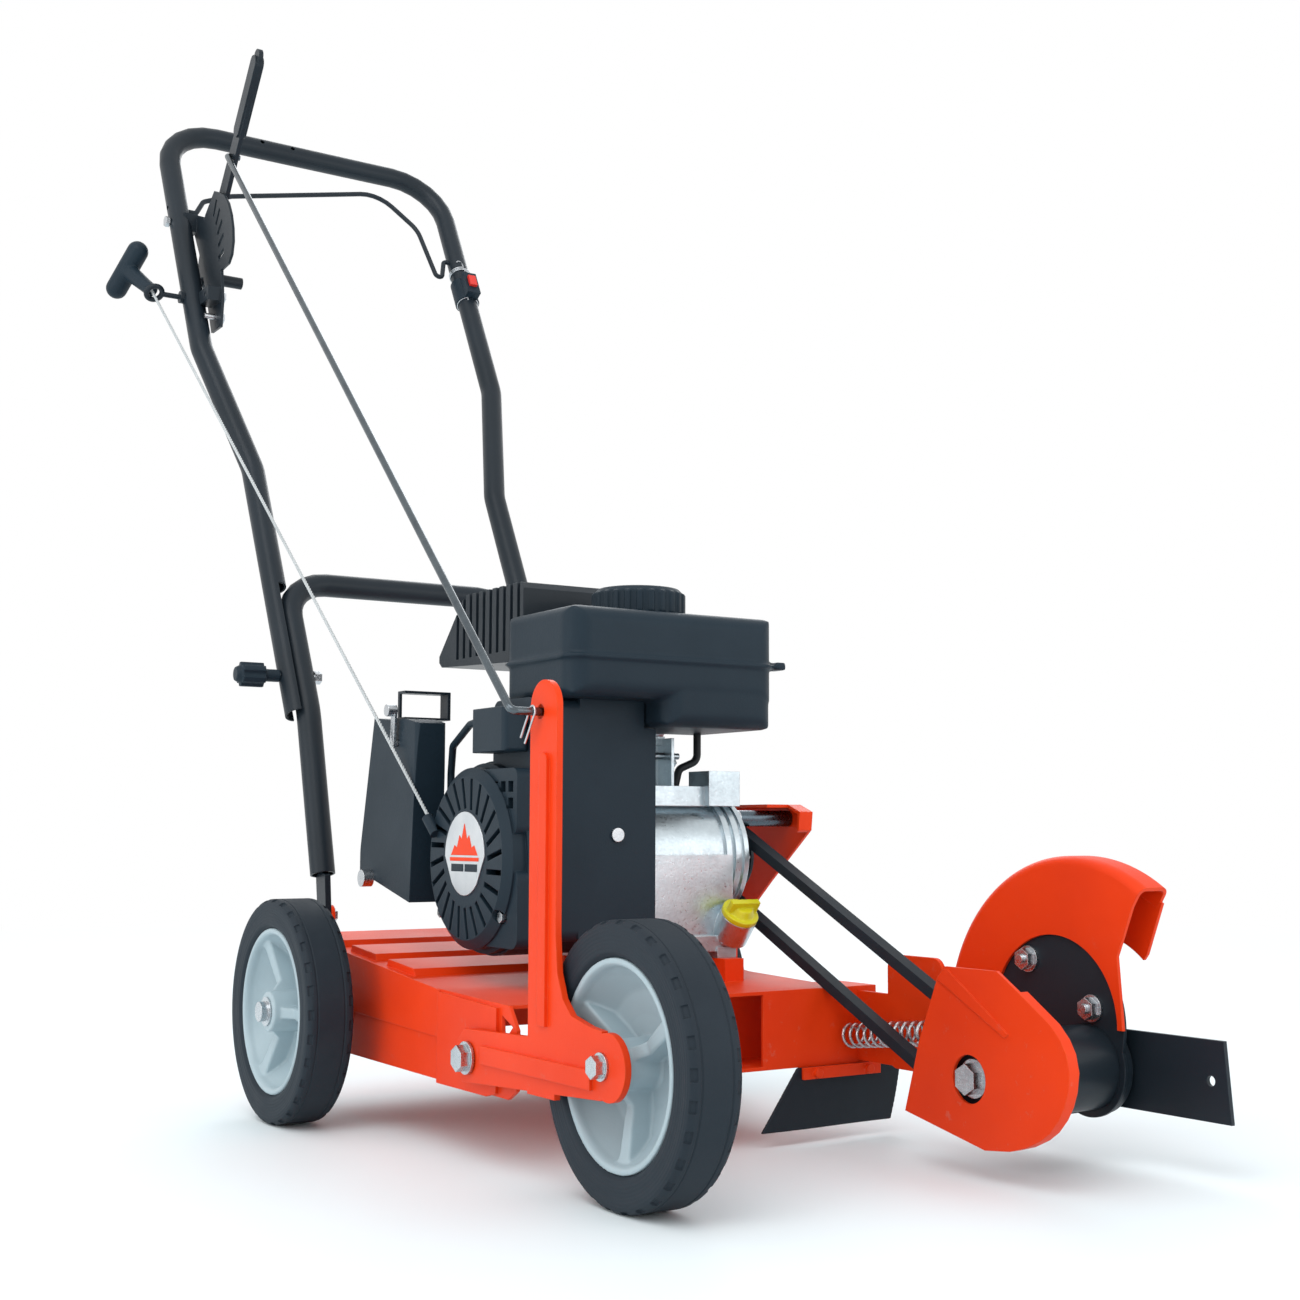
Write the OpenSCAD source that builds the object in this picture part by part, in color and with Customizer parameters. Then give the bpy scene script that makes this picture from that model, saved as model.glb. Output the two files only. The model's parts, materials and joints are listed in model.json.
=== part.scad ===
// Walk-behind lawn edger: engine-driven vertical blade on a three-wheeled sheet-metal chassis.
// +X is forward, +Y is the machine's left, +Z is up. Ground is z = 0. Millimetres.

/* [Wheels] */
// Wheel outside diameter
wheel_d = 203.2; // [180:0.1:230]
// Tyre width
tyre_w = 43; // [36:1:50]
// Rim diameter where the tyre sits
rim_d = 150; // [130:1:160]
// Distance between the rear and front axles
wheelbase = 500; // [480:1:520]
// Distance between the rear tyres' centres
rear_track = 420; // [410:1:430]
// Axle rod diameter
axle_d = 12.7; // [12:0.1:13]

/* [Chassis] */
// Chassis width over the side plates
deck_w = 320; // [318:1:322]
// Sheet thickness
sheet_t = 3; // [2:0.5:3]
// Height of the crankshaft above ground
crank_z = 242; // [238:1:246]

/* [Handle] */
// Handle tube outside diameter
tube_d = 25; // [22:1:25]
// Handle tube wall
tube_wall = 1.8; // [1:0.1:3]
// Backward lean of the upper handle in degrees
handle_lean = 28.5; // [26:0.5:31]
// Upper handle length above its clamp bolts
handle_len = 807; // [780:1:850]
// Half spacing of the handle legs at the bottom
leg_low = 149; // [147:1:150]
// Half spacing of the handle legs at the top
leg_top = 184; // [182:1:186]

/* [Blade] */
// Blade length
blade_len = 254; // [228:1:260]
// Blade width
blade_w = 62; // [50:1:66]
// Blade thickness
blade_t = 3.5; // [3:0.5:4]
// Height of the blade spindle above ground
spindle_z = 76; // [74:1:78]

/* [Quality] */
// Facets on round surfaces
round_fn = 64; // [32:16:128]

/* [Hidden] */
$fn = round_fn;
origin_x = -50.22;
origin_y = -10.48;
wr = wheel_d / 2;
rr = rim_d / 2;
ar = axle_d / 2;
run = 0.05;
half_w = deck_w / 2;
front_y = -141;
hub_l = 44;
pivot_x = 290;
pivot_z = 86;
arm_y = -172;
arm_t = 6;
arm_top_x = 411;
arm_top_z = 358;
crank_x = 195;
spindle_x = 550;
belt_y = 142;
clamp_x = -182;
clamp_z = 425;
tr = tube_d / 2;
lever_x = -476;
lever_z = 925;
lever_y = -158;
rod_x = -376;
rod_z = 1041;
rod_out = -196;

lower_y = 136.4;
foot_x = -106;
foot_z = 182;
bail_s = 665;
guide_x = -430;
guide_y = -229;
guide_z = 882;
rope_x = 128;
rope_y = -134;
rope_z = 276;
belt_w = 12;
pul_r = 26;
shaft_r = 9.5;
shroud_x = 270;
guard_y = 250;
blade_y = 272;
hood_x = 531;
hood_z = 95;
hood_r = 150;
disc_x = 514.6;
disc_z = 109.4;
guard_holes = [[484, 158.5], [556, 123]];
pin_x = arm_top_x - 5;
pin_z = arm_top_z - 3;
lever_ang = atan2(rod_x - lever_x, rod_z - lever_z);
rod_l = norm([rod_x - lever_x, rod_z - lever_z]);
// slack of the unlatched pivot between rod and depth arm
pin_hole_r = 5.7;
rod_r = 3.2;
arm_hw = 21;
stand_x = 225;
stand_z = 277;
stand_r = 7.5;
tank_low = 355;
tank_base = 378;
quadrant_holes = [[83, -46], [80, -70], [-13, 64]];
handle_n = [cos(handle_lean), 0, sin(handle_lean)];

c_orange = [0.93, 0.27, 0.10];
c_black = [0.13, 0.15, 0.17];
c_tyre = [0.10, 0.11, 0.12];
c_rim = [0.66, 0.73, 0.76];
c_plast = [0.12, 0.14, 0.16];
c_zinc = [0.78, 0.79, 0.80];
c_alu = [0.66, 0.70, 0.72];
c_yellow = [0.85, 0.86, 0.10];

// ---------- helpers ----------
function unit(v) = v / norm(v);
function sdir(p, i) = unit(p[i + 1] - p[i]);
function turn(p, i) = acos(sdir(p, i - 1) * sdir(p, i));
function rad(r, i) = is_list(r) ? r[i] : r;
function cut(p, i, r) = (i == 0 || i == len(p) - 1) ? 0 : rad(r, i) * tan(turn(p, i) / 2);

// stations [point, tangent] along a polyline whose corners are rounded to radius r
function stations(p, r, nb) = concat([[p[0], sdir(p, 0)]],
    [for (i = [1:1:len(p) - 2])
        for (k = [0:nb])
            let (a = sdir(p, i - 1),
                t = turn(p, i),
                q = rad(r, i),
                n0 = (sdir(p, i) - a * cos(t)) / sin(t),
                c = p[i] - a * cut(p, i, r) + n0 * q,
                f = t * k / nb)
            [c - (n0 * cos(f) - a * sin(f)) * q, a * cos(f) + n0 * sin(f)]],
    [[p[len(p) - 1], sdir(p, len(p) - 2)]]);

function hoop(st, up, rr, n) = [for (q = st)
    for (j = [0:n - 1])
        let (e = unit(cross(up, q[1])), g = cross(q[1], e))
        q[0] + rr * (cos(j * 360 / n) * e + sin(j * 360 / n) * g)];

// rod or tube swept along stations; "up" is never parallel to the path
module sweep(p, r, ro, ri = 0, up = [0, 0, 1], n = 28, nb = 6) {
    st = stations(p, r, nb);
    m = len(st);
    k = m * n;
    outer = [for (i = [0:m - 2])
        for (j = [0:n - 1])
            [i * n + j, (i + 1) * n + j, (i + 1) * n + (j + 1) % n, i * n + (j + 1) % n]];
    if (ri > 0) {
        inner = [for (i = [0:m - 2])
            for (j = [0:n - 1])
                [k + i * n + j, k + i * n + (j + 1) % n, k + (i + 1) * n + (j + 1) % n,
                    k + (i + 1) * n + j]];
        head = [for (j = [0:n - 1])
            [j, (j + 1) % n, k + (j + 1) % n, k + j]];
        tail = [for (j = [0:n - 1])
            let (z = (m - 1) * n)
            [z + j, k + z + j, k + z + (j + 1) % n, z + (j + 1) % n]];
        polyhedron(points = concat(hoop(st, up, ro, n), hoop(st, up, ri, n)),
            faces = concat(outer, inner, head, tail));
    } else {
        polyhedron(points = hoop(st, up, ro, n),
            faces = concat(outer, [[for (j = [0:n - 1]) j]],
                [[for (j = [0:n - 1]) k - 1 - j]]));
    }
}

module cyl_y(x, y0, y1, z, r) {
    translate([x, y1, z])
        rotate([90, 0, 0])
            cylinder(h = y1 - y0, r = r);
}

module hex_y(x, y0, y1, z, r) {
    translate([x, y1, z])
        rotate([90, 30, 0])
            cylinder(h = y1 - y0, r = r, $fn = 6);
}

// flat plate in the XZ plane between y0 and y1
module plate_y(y0, y1) {
    translate([0, y1, 0])
        rotate([90, 0, 0])
            linear_extrude(y1 - y0)
                children();
}

// rounded rectangle in 2D from corner a to corner b
module rrect(x0, y0, x1, y1, r) {
    translate([x0 + r, y0])
        square([x1 - x0 - 2 * r, y1 - y0]);
    translate([x0, y0 + r])
        square([x1 - x0, y1 - y0 - 2 * r]);
    for (x = [x0 + r, x1 - r])
        for (y = [y0 + r, y1 - r])
            translate([x, y])
                circle(r);
}

// puts XY drawings into the plane of the leaning upper handle
module in_handle() {
    translate([clamp_x, 0, clamp_z])
        rotate([0, -handle_lean, 0])
            rotate([90, 0, 90])
                children();
}

// ---------- wheels ----------
module rim_shape() {
    difference() {
        union() {
            difference() {
                cylinder(h = 38, r = rr, center = true);
                translate([0, 0, 1])
                    cylinder(h = 40, r = rr - 5);
                translate([0, 0, -41])
                    cylinder(h = 36, r = rr - 5);
            }
            for (a = [30, 150, 270])
                rotate([0, 0, a]) {
                    translate([12, -14, 0])
                        cube([rr - 15, 4, 15]);
                    translate([12, 10, 0])
                        cube([rr - 15, 4, 15]);
                    translate([12, -11, 0])
                        cube([rr - 15, 22, 9]);
                }
            cylinder(h = hub_l, r = 19, center = true);
        }
        cylinder(h = hub_l + 2, r = ar + run, center = true);
    }
}

module tyre_shape(notches = 28) {
    difference() {
        rotate_extrude() {
            translate([rr, -tyre_w / 2 + 2])
                square([wr - rr - 7, tyre_w - 4]);
            translate([wr - 9, -tyre_w / 2 + 7])
                square([9, tyre_w - 14]);
            translate([rr + 3, -tyre_w / 2])
                square([wr - rr - 10, tyre_w]);
            for (s = [-1, 1])
                translate([wr - 7, s * (tyre_w / 2 - 7)])
                    circle(7);
        }
        for (i = [0:notches - 1])
            for (s = [-1, 1])
                rotate([0, 0, i * 360 / notches + s * 3])
                    translate([wr - 4, -2, s > 0 ? tyre_w / 2 - 9 : -tyre_w / 2 - 1])
                        cube([8, 4, 10]);
    }
}

module at_wheel(x, y) {
    translate([x, y, wr])
        rotate([y < 0 ? 90 : -90, 0, 0])
            children();
}

// ---------- chassis ----------
module side_outline() {
    polygon([[-95, 62], [-95, 163], [207, 134], [338, 130], [352, 112], [352, 66], [338, 58]]);
}

module chassis() {
    color(c_orange)
    difference() {
        union() {
            plate_y(-half_w, -half_w + sheet_t)
                side_outline();
            plate_y(half_w - sheet_t, half_w)
                polygon([[-95, 62], [-95, 163], [207, 134], [300, 131], [300, 70]]);
            plate_y(-half_w, half_w)
                polygon([[-95, 163], [207, 134], [338, 130], [338, 127],
                    [207, 131], [-95, 160]]);
            translate([-98, -half_w, 62])
                cube([3, deck_w, 101]);
            deck_steps();
            // front cross beam: a channel open at its right end
            translate([296, 20, 127])
                cube([54, 176, 3]);
            translate([347, 74, 64])
                cube([3, 122, 66]);
            translate([296, 74, 64])
                cube([54, 122, 3]);
            translate([296, 20, 64])
                cube([3, 176, 66]);
            translate([296, 20, 64])
                cube([54, 54, 3]);
            flap_clamp();
            // welded stiffening plate round the depth pivot
            plate_y(-half_w - 3, -half_w)
                polygon([[214, 57], [214, 132], [322, 127], [322, 61], [306, 57]]);
            // raised upper skirt on the near side
            plate_y(-half_w - 1.5, -half_w)
                polygon([[-95, 118], [-95, 163], [207, 134], [215, 133], [215, 94], [20, 100.5],
                    [12, 118]]);
            // engine pads
            for (x = [112, 232])
                for (y = [-8, 88])
                    translate([x, y, 128])
                        cube([40, 20, 24]);
            // handle feet
            for (s = [-1, 1]) {
                translate([foot_x - 12, s * lower_y - 14, 150])
                    cube([24, 28, 3]);
                plate_y(s * 131.9 - 1.5, s * 131.9 + 1.5)
                    rrect(foot_x - 12, 150, foot_x + 12, foot_z + 10, 8);
            }
        }
        cyl_y(0, -half_w - 1, half_w + 1, wr, ar);
        cyl_y(pivot_x, -half_w - 4, -half_w + 4, pivot_z, 8);
        plate_y(-half_w - 1, -half_w + 4)
            polygon([[326, 122], [345, 114], [328, 100]]);
        for (s = [-1, 1])
            cyl_y(foot_x, s * 136 - 15, s * 136 + 15, foot_z, 4);
    }
}

// stepped plates across the deck carry the engine
module deck_steps() {
    for (i = [0:2])
        plate_y(-half_w + 6, half_w - 6)
            polygon([[i * 84 - 80, 161 - i * 8], [i * 84 - 76, 167 - i * 8],
                [i * 84 - 22, 162 - i * 8], [i * 84 - 16, 153 - i * 8]]);
}

module head_bracket() {
    color(c_orange)
    difference() {
        union() {
            plate_y(176, 180)
                rrect(391, 64, 462, 160, 12);
            plate_y(176, 180)
                rrect(430, 44, 590, 112, 20);
            translate([350, 176, 66])
                cube([60, 4, 60]);
            plate_y(176, 184)
                translate([spindle_x, spindle_z])
                    circle(34);
        }
        cyl_y(spindle_x, 170, 190, spindle_z, 26);
    }
}

module axle_rear() {
    color(c_zinc)
        cyl_y(0, -rear_track / 2 - 30, rear_track / 2 + 30, wr, ar);
}

module axle_caps() {
    color(c_zinc)
    for (s = [-1, 1]) {
        difference() {
            union() {
                cyl_y(0, s * 236.5 - 3.5, s * 236.5 + 3.5, wr, 9);
                cyl_y(0, s * 233 - 0.8, s * 233 + 0.8, wr, 13);
            }
            cyl_y(0, -300, 300, wr, ar);
        }
        difference() {
            cyl_y(0, s * 174 - 13.9, s * 174 + 13.9, wr, 10);
            cyl_y(0, -300, 300, wr, ar);
        }
    }
}

// ---------- depth adjustment ----------
module depth_arm() {
    color(c_orange)
    difference() {
        union() {
            plate_y(arm_y + 1, arm_y + arm_t) {
                translate([arm_top_x, arm_top_z])
                    circle(arm_hw);
                translate([arm_top_x - arm_hw, 70])
                    square([2 * arm_hw, arm_top_z - 70]);
                polygon([[pivot_x - 10, 66], [pivot_x - 20, 76], [pivot_x - 20, 98],
                    [pivot_x - 8, 108], [arm_top_x - arm_hw, 112], [arm_top_x + arm_hw, 132],
                    [wheelbase, 126], [wheelbase, 78]]);
                translate([wheelbase + 8, wr])
                    circle(24);
                polygon([[arm_top_x + arm_hw, 126], [arm_top_x + arm_hw, 190],
                    [arm_top_x + arm_hw + 3, 162], [arm_top_x + arm_hw + 11, 144],
                    [arm_top_x + arm_hw + 24, 133], [wheelbase, 124]]);
            }
            // pressed ribs
            plate_y(arm_y - 2, arm_y + 1) {
                translate([arm_top_x - 2, 122])
                    square([12, 196]);
                translate([arm_top_x + 4, 318])
                    circle(6);
                translate([pivot_x + 26, 84])
                    square([172, 14]);
            }
        }
        cyl_y(pivot_x, arm_y - 5, arm_y + arm_t + 5, pivot_z, 8 + run);
        cyl_y(wheelbase, arm_y - 5, arm_y + arm_t + 5, wr, ar);
        cyl_y(pin_x, arm_y - 5, arm_y + arm_t + 5, pin_z, pin_hole_r);
    }
}

module arm_pivot_bolt() {
    color(c_zinc) {
        cyl_y(pivot_x, arm_y, -half_w + 12, pivot_z, 8);
        cyl_y(pivot_x, arm_y - 2.5, arm_y, pivot_z, 13);
        hex_y(pivot_x, arm_y - 10, arm_y - 2.5, pivot_z, 10.5);
        difference() {
            cyl_y(pivot_x, arm_y + arm_t + run, -half_w - 3, pivot_z, 14);
            cyl_y(pivot_x, arm_y, -half_w + 1, pivot_z, 8);
        }
        hex_y(pivot_x, -half_w + sheet_t, -half_w + sheet_t + 8, pivot_z, 12.5);
    }
}

module front_axle() {
    color(c_zinc) {
        cyl_y(wheelbase, arm_y - 1, front_y + 34, wr, ar);
        cyl_y(wheelbase, arm_y - 1, arm_y + 1, wr, 10);
        hex_y(wheelbase, arm_y - 8, arm_y - 1, wr, 8.2);
        cyl_y(wheelbase, arm_y + arm_t, front_y - hub_l / 2 - run, wr, 11);
        hex_y(wheelbase, front_y + hub_l / 2 + run, front_y + 32, wr, 11);
    }
}

// straight rod with a turned end at the lever and at the depth arm
module control_rod() {
    color(c_zinc)
        sweep([[rod_x, lever_y + 7, rod_z], [rod_x, lever_y - 4, rod_z] - [0, 4, 0],
            [pin_x, rod_out, pin_z], [pin_x, arm_y + arm_t + 3, pin_z]],
            5, rod_r, up = unit([pin_z - rod_z, 0, rod_x - pin_x]), n = 20);
}

module rod_clip() {
    color(c_zinc)
    translate([pin_x, arm_y - 6, pin_z])
        rotate([90, 0, 0])
            rotate([0, 0, 235]) {
                translate([0, rod_r + 0.9, 0])
                    rotate([0, 90, 0])
                        cylinder(h = 26, r = 0.9, $fn = 24);
                translate([0, -rod_r - 0.9, 0])
                    rotate([0, 90, 0])
                        cylinder(h = 26, r = 0.9, $fn = 24);
                rotate([0, 0, 90])
                    rotate_extrude(angle = 180)
                        translate([rod_r + 0.9, 0])
                            circle(0.9, $fn = 24);
            }
}

// flat bar with round ends, from the origin up to height h
module bar(h, r0, r1) {
    polygon(concat([for (a = [180:10:360]) r0 * [cos(a), sin(a)]],
        [for (a = [0:10:180]) [r1 * cos(a), h + r1 * sin(a)]]));
}

module depth_lever() {
    color(c_black)
    translate([lever_x, 0, lever_z])
        rotate([0, lever_ang, 0])
            difference() {
                union() {
                    plate_y(lever_y - 2.5, lever_y + 2.5)
                        bar(272, 14, 9);
                    // thick hand grip
                    plate_y(lever_y - 5, lever_y + 5)
                        rrect(-9.5, rod_l + 24, 9.5, 273, 9);
                }
                cyl_y(0, lever_y - 5, lever_y + 5, 0, 7 + run);
                cyl_y(0, lever_y - 5, lever_y + 5, rod_l, rod_r + run);
            }
}

// plate bolted to the handle leg, with latch notches for the lever
module lever_quadrant() {
    color(c_black)
    translate([lever_x, 0, lever_z])
        difference() {
            union() {
                plate_y(lever_y - 9, lever_y - 6)
                    difference() {
                        union() {
                            polygon([[0, -4], [28, 66], [60, 86], [73, 81], [94, 71],
                                [110, 57], [121, 40], [128, 22], [130, 6], [126, -8],
                                [116, -16], [92, -17]]);
                            polygon([[-16, 80], [22, 66], [60, -2], [92, -17], [98, -52],
                                [94, -84], [62, -84], [36, -25], [9, 25], [-24, 72]]);
                        }
                        for (i = [0:4])
                            rotate([0, 0, i * 11 - 1])
                                translate([82, -3])
                                    rotate([0, 0, 18])
                                        square([20, 6]);
                    }
                cyl_y(0, lever_y - 7, lever_y + 46, 0, 7);
                cyl_y(0, lever_y - 7, lever_y - 2.5 - run, 0, 11);
                // blocks that seat on the handle leg
                translate([60, lever_y - 24, -54])
                    cube([34, 16, 16]);
                translate([-24, lever_y - 24, 54])
                    cube([22, 16, 22]);
            }
            translate([-lever_x, 0, -lever_z])
                in_handle()
                    translate([-leg_top, 500, 0])
                        rotate([-90, 0, 0])
                            cylinder(h = 250, r = tr + 0.02);
            for (p = quadrant_holes)
                cyl_y(p[0], lever_y - 30, lever_y, p[1], 3.2);
        }
}

module quadrant_bolts() {
    color(c_zinc)
    translate([lever_x, 0, lever_z]) {
        for (p = [quadrant_holes[0], quadrant_holes[1]]) {
            cyl_y(p[0], lever_y - 23, lever_y - 1, p[1], 3.2);
            hex_y(p[0], lever_y - 6, lever_y - 1, p[1], 6.5);
        }
        cyl_y(quadrant_holes[2][0], lever_y - 44, lever_y - 2, quadrant_holes[2][1], 3.2);
        hex_y(quadrant_holes[2][0], lever_y - 6, lever_y - 1, quadrant_holes[2][1], 6.5);
        hex_y(quadrant_holes[2][0], lever_y - 44, lever_y - 39.2, quadrant_holes[2][1], 6.5);
    }
}

// ---------- handle ----------
module handle_upper() {
    color(c_black)
    difference() {
        in_handle()
            sweep([[-leg_low, -47, 0], [-leg_low, 273, 0], [-leg_top, 444, 0],
                [-leg_top, handle_len, 0], [leg_top, handle_len, 0], [leg_top, 444, 0],
                [leg_low, 273, 0], [leg_low, -47, 0]], 66, tr, tr - tube_wall);
        for (s = [-1, 1])
            cyl_y(clamp_x, s * leg_low - 20, s * leg_low + 20, clamp_z, 4 + run);
        cyl_y(lever_x + quadrant_holes[2][0], -220, -150, lever_z + quadrant_holes[2][1], 3.2);
        for (y = [-62, -22])
            in_handle()
                translate([y, handle_len, 0])
                    cylinder(h = 20, r = 3);
        in_handle()
            translate([0, bail_s, 0])
                rotate([0, 90, 0])
                    cylinder(h = 400, r = 3 + run, center = true);
        // legs are half shells where they lie on the lower handle
        in_handle()
            translate([-leg_low + 0.15, -60, -20])
                cube([2 * leg_low - 0.3, 172, 40]);
    }
}

function leg_pt(y, s) = [clamp_x - s * sin(handle_lean), y, clamp_z + s * cos(handle_lean)];

module handle_lower() {
    color(c_black)
    difference() {
        union() {
            sweep([[foot_x - 8, -lower_y, 222], leg_pt(-lower_y, -42), leg_pt(-lower_y, 121),
                leg_pt(lower_y, 121), leg_pt(lower_y, -42), [foot_x - 8, lower_y, 222]],
                [0, 110, 46, 46, 110, 0], tr - 0.1, tr - 0.1 - tube_wall, handle_n);
            for (s = [-1, 1])
                plate_y(s * lower_y - 3, s * lower_y + 3)
                    polygon([[foot_x - 20, 228], [foot_x - 11, 172], [foot_x + 11, 172],
                        [foot_x + 5, 222]]);
        }
        for (s = [-1, 1]) {
            cyl_y(clamp_x, s * lower_y - 20, s * lower_y + 20, clamp_z, 4);
            cyl_y(foot_x, s * lower_y - 20, s * lower_y + 20, foot_z, 4);
        }
    }
}

module foot_bolts() {
    color(c_zinc)
    for (s = [-1, 1]) {
        cyl_y(foot_x, s * 136 - 11, s * 136 + 9, foot_z, 4);
        hex_y(foot_x, s * 136 + 3.4 * s - (s > 0 ? 0 : 5), s * 136 + 3.4 * s + (s > 0 ? 5 : 0),
            foot_z, 7);
        hex_y(foot_x, s * 130.4 - (s > 0 ? 5 : 0), s * 130.4 + (s > 0 ? 0 : 5), foot_z, 7);
    }
}

module clamp_bolts() {
    color(c_zinc)
    for (s = [-1, 1]) {
        cyl_y(clamp_x, s * 157 - 38, s * 157 + 38, clamp_z, 4);
        hex_y(clamp_x, s * 120.4 - 3.6, s * 120.4 + 3.6, clamp_z, 7);
    }
}

module clamp_knob(s) {
    color(c_plast)
    difference() {
        translate([clamp_x, s * (leg_low + tr), clamp_z])
            rotate([s > 0 ? -90 : 90, 0, 0]) {
                translate([0, 0, run])
                    cylinder(h = 18, r = 6.5);
                difference() {
                    translate([0, 0, 17])
                        cylinder(h = 24, r = 12.7);
                    for (a = [0:60:300])
                        rotate([0, 0, a])
                            translate([14.4, 0, 16])
                                cylinder(h = 26, r = 4);
                }
                translate([0, 0, 41])
                    cylinder(h = 5, r1 = 9.5, r2 = 7);
            }
        cyl_y(clamp_x, s * 157 - 38.1, s * 157 + 38.1, clamp_z, 4 + run);
    }
}

// switch bail: a thin rod hooked on both legs
module bail() {
    color(c_black)
        in_handle()
            sweep([[-182, bail_s, 0], [-162, bail_s, 0], [-150, 688, 0], [-112, 708, 0],
                [92, 770, 0], [138, 716, 0], [151, 616, 0], [165, bail_s, 0], [182, bail_s, 0]],
                [0, 5, 12, 12, 40, 40, 5, 5, 0], 3, n = 14, nb = 5);
}

module bail_spring() {
    color(c_zinc)
        in_handle()
            translate([leg_top, 648, 0])
                rotate([90, 0, 0])
                    for (i = [0:2])
                        translate([0, 0, i * 3])
                            difference() {
                                cylinder(h = 1.6, r = tr + 2.2);
                                translate([0, 0, -1])
                                    cylinder(h = 4, r = tr + 0.1);
                            }
}

module stop_switch() {
    color(c_plast)
        in_handle()
            difference() {
                union() {
                    translate([leg_top, 628, 0])
                        rotate([90, 0, 0])
                            cylinder(h = 34, r = tr + 3);
                    translate([leg_top - 9, 594, 0])
                        cube([18, 34, tr + 11]);
                }
                translate([leg_top, 640, 0])
                    rotate([90, 0, 0])
                        cylinder(h = 60, r = tr);
                translate([leg_top - 5 - run, 604 - run, tr + 5])
                    cube([10 + 2 * run, 16 + 2 * run, 10]);
            }
}

module stop_button() {
    color([0.85, 0.08, 0.06])
        in_handle()
            translate([leg_top - 5, 604, tr + 9])
                cube([10, 16, 6]);
}

// eyelet rod that parks the starter grip
module rope_guide() {
    color(c_black)
        translate([guide_x, 0, guide_z]) {
            difference() {
                cyl_y(0, -leg_top - 16, -leg_top - 8, 0, 7);
                rotate([0, -handle_lean, 0])
                    translate([0, -leg_top, 0])
                        cylinder(h = 40, r = tr + 0.06, center = true);
            }
            cyl_y(0, guide_y + 9, -leg_top - 15, 0, 3);
            translate([0, guide_y, 0])
                along_rope()
                    rotate_extrude()
                        translate([9, 0])
                            circle(3);
        }
}

rope_v = [guide_x - rope_x, guide_y - rope_y, guide_z - rope_z];
rope_len = norm(rope_v);
rope_tilt = acos(rope_v[2] / rope_len);
rope_turn = atan2(rope_v[1], rope_v[0]);

module along_rope() {
    rotate([0, 0, rope_turn])
        rotate([0, rope_tilt, 0])
            children();
}

module starter_grip() {
    color(c_plast)
        translate([guide_x, guide_y, guide_z])
            rotate([0, 0, 200])
                rotate([0, 55, 0])
                    rotate([0, 0, 8]) {
                        translate([0, 0, 6])
                            cylinder(h = 14, r = 8);
                        translate([0, 0, 19])
                            cylinder(h = 38, r1 = 8, r2 = 10);
                        translate([0, 0, 64])
                            rotate([0, 90, 0]) {
                                cylinder(h = 50, r = 12, center = true);
                                for (s = [-1, 1])
                                    translate([0, 0, s * 25])
                                        sphere(12);
                            }
                    }
}

module starter_rope() {
    color([0.88, 0.88, 0.86])
        translate([rope_x, rope_y, rope_z])
            along_rope()
                cylinder(h = rope_len + 3.9, r = 1.75, $fn = 8);
}

// ---------- engine ----------
module engine_block() {
    color(c_alu)
    difference() {
        union() {
            cyl_y(crank_x, -10, 130, crank_z, 54);
            cyl_y(crank_x, 104, 110, crank_z, 57);
            cyl_y(crank_x, 114, 120, crank_z, 57);
            cyl_y(crank_x, 124, 129, crank_z, 56);
            translate([138, -10, 158])
                cube([114, 120, 86]);
            translate([130, -10, 158])
                cube([128, 112, 14]);
            for (y = [-8, 88])
                translate([104, y, 152])
                    cube([156, 20, 10]);
            // finned cylinder leaning back
            translate([crank_x, 0, crank_z])
                rotate([0, -38, 0]) {
                    translate([-34, -6, 40])
                        cube([68, 92, 116]);
                    for (i = [0:5])
                        translate([-44, -10, 76 + i * 12])
                            cube([88, 104, 5]);
                }
            translate([206, 92, 288])
                cube([34, 34, 32]);
            translate([160, 6, 288])
                cube([72, 92, 18]);
            translate([256, 106, 176])
                rotate([0, 40, 0])
                    translate([0, 0, -6])
                        cylinder(h = 24, r = 17);
        }
        cyl_y(crank_x, 120, 140, crank_z, shaft_r + 4);
        translate([256, 106, 176])
            rotate([0, 40, 0])
                translate([0, 0, 2])
                    cylinder(h = 40, r = 11 + run);
        cyl_y(stand_x, 126, 140, stand_z, stand_r);
    }
}

module oil_cap() {
    color(c_yellow)
        translate([256, 106, 176])
            rotate([0, 40, 0]) {
                translate([0, 0, 4])
                    cylinder(h = 15, r = 11);
                translate([0, 0, 18 + run])
                    cylinder(h = 5, r = 17);
                translate([0, 0, 22])
                    cylinder(h = 7, r1 = 13, r2 = 9);
                translate([-3, -15, 22])
                    cube([6, 30, 13]);
            }
}

module blower_housing() {
    color(c_plast)
    difference() {
        union() {
            plate_y(-104, -11) {
                intersection() {
                    translate([crank_x, crank_z])
                        circle(84);
                    translate([crank_x - 90, crank_z - 90])
                        square([shroud_x - crank_x + 90, 180]);
                }
                rrect(crank_x, 172, shroud_x, tank_base, 10);
            }
            translate([shroud_x - 5, -60, 174])
                cube([5, 76, tank_low - 174.5]);
            translate([shroud_x - 5, -60, 340])
                cube([5, 64, tank_base - 340]);
            translate([crank_x - 3, -12, 340])
                cube([shroud_x - crank_x, 15, tank_base - 340]);
        }
        cyl_y(crank_x, -105, -40, crank_z, 70);
        translate([shroud_x - 8, -23, 262])
            rotate([0, 90, 0])
                cylinder(h = 9, r = 2.6);
    }
}

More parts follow.
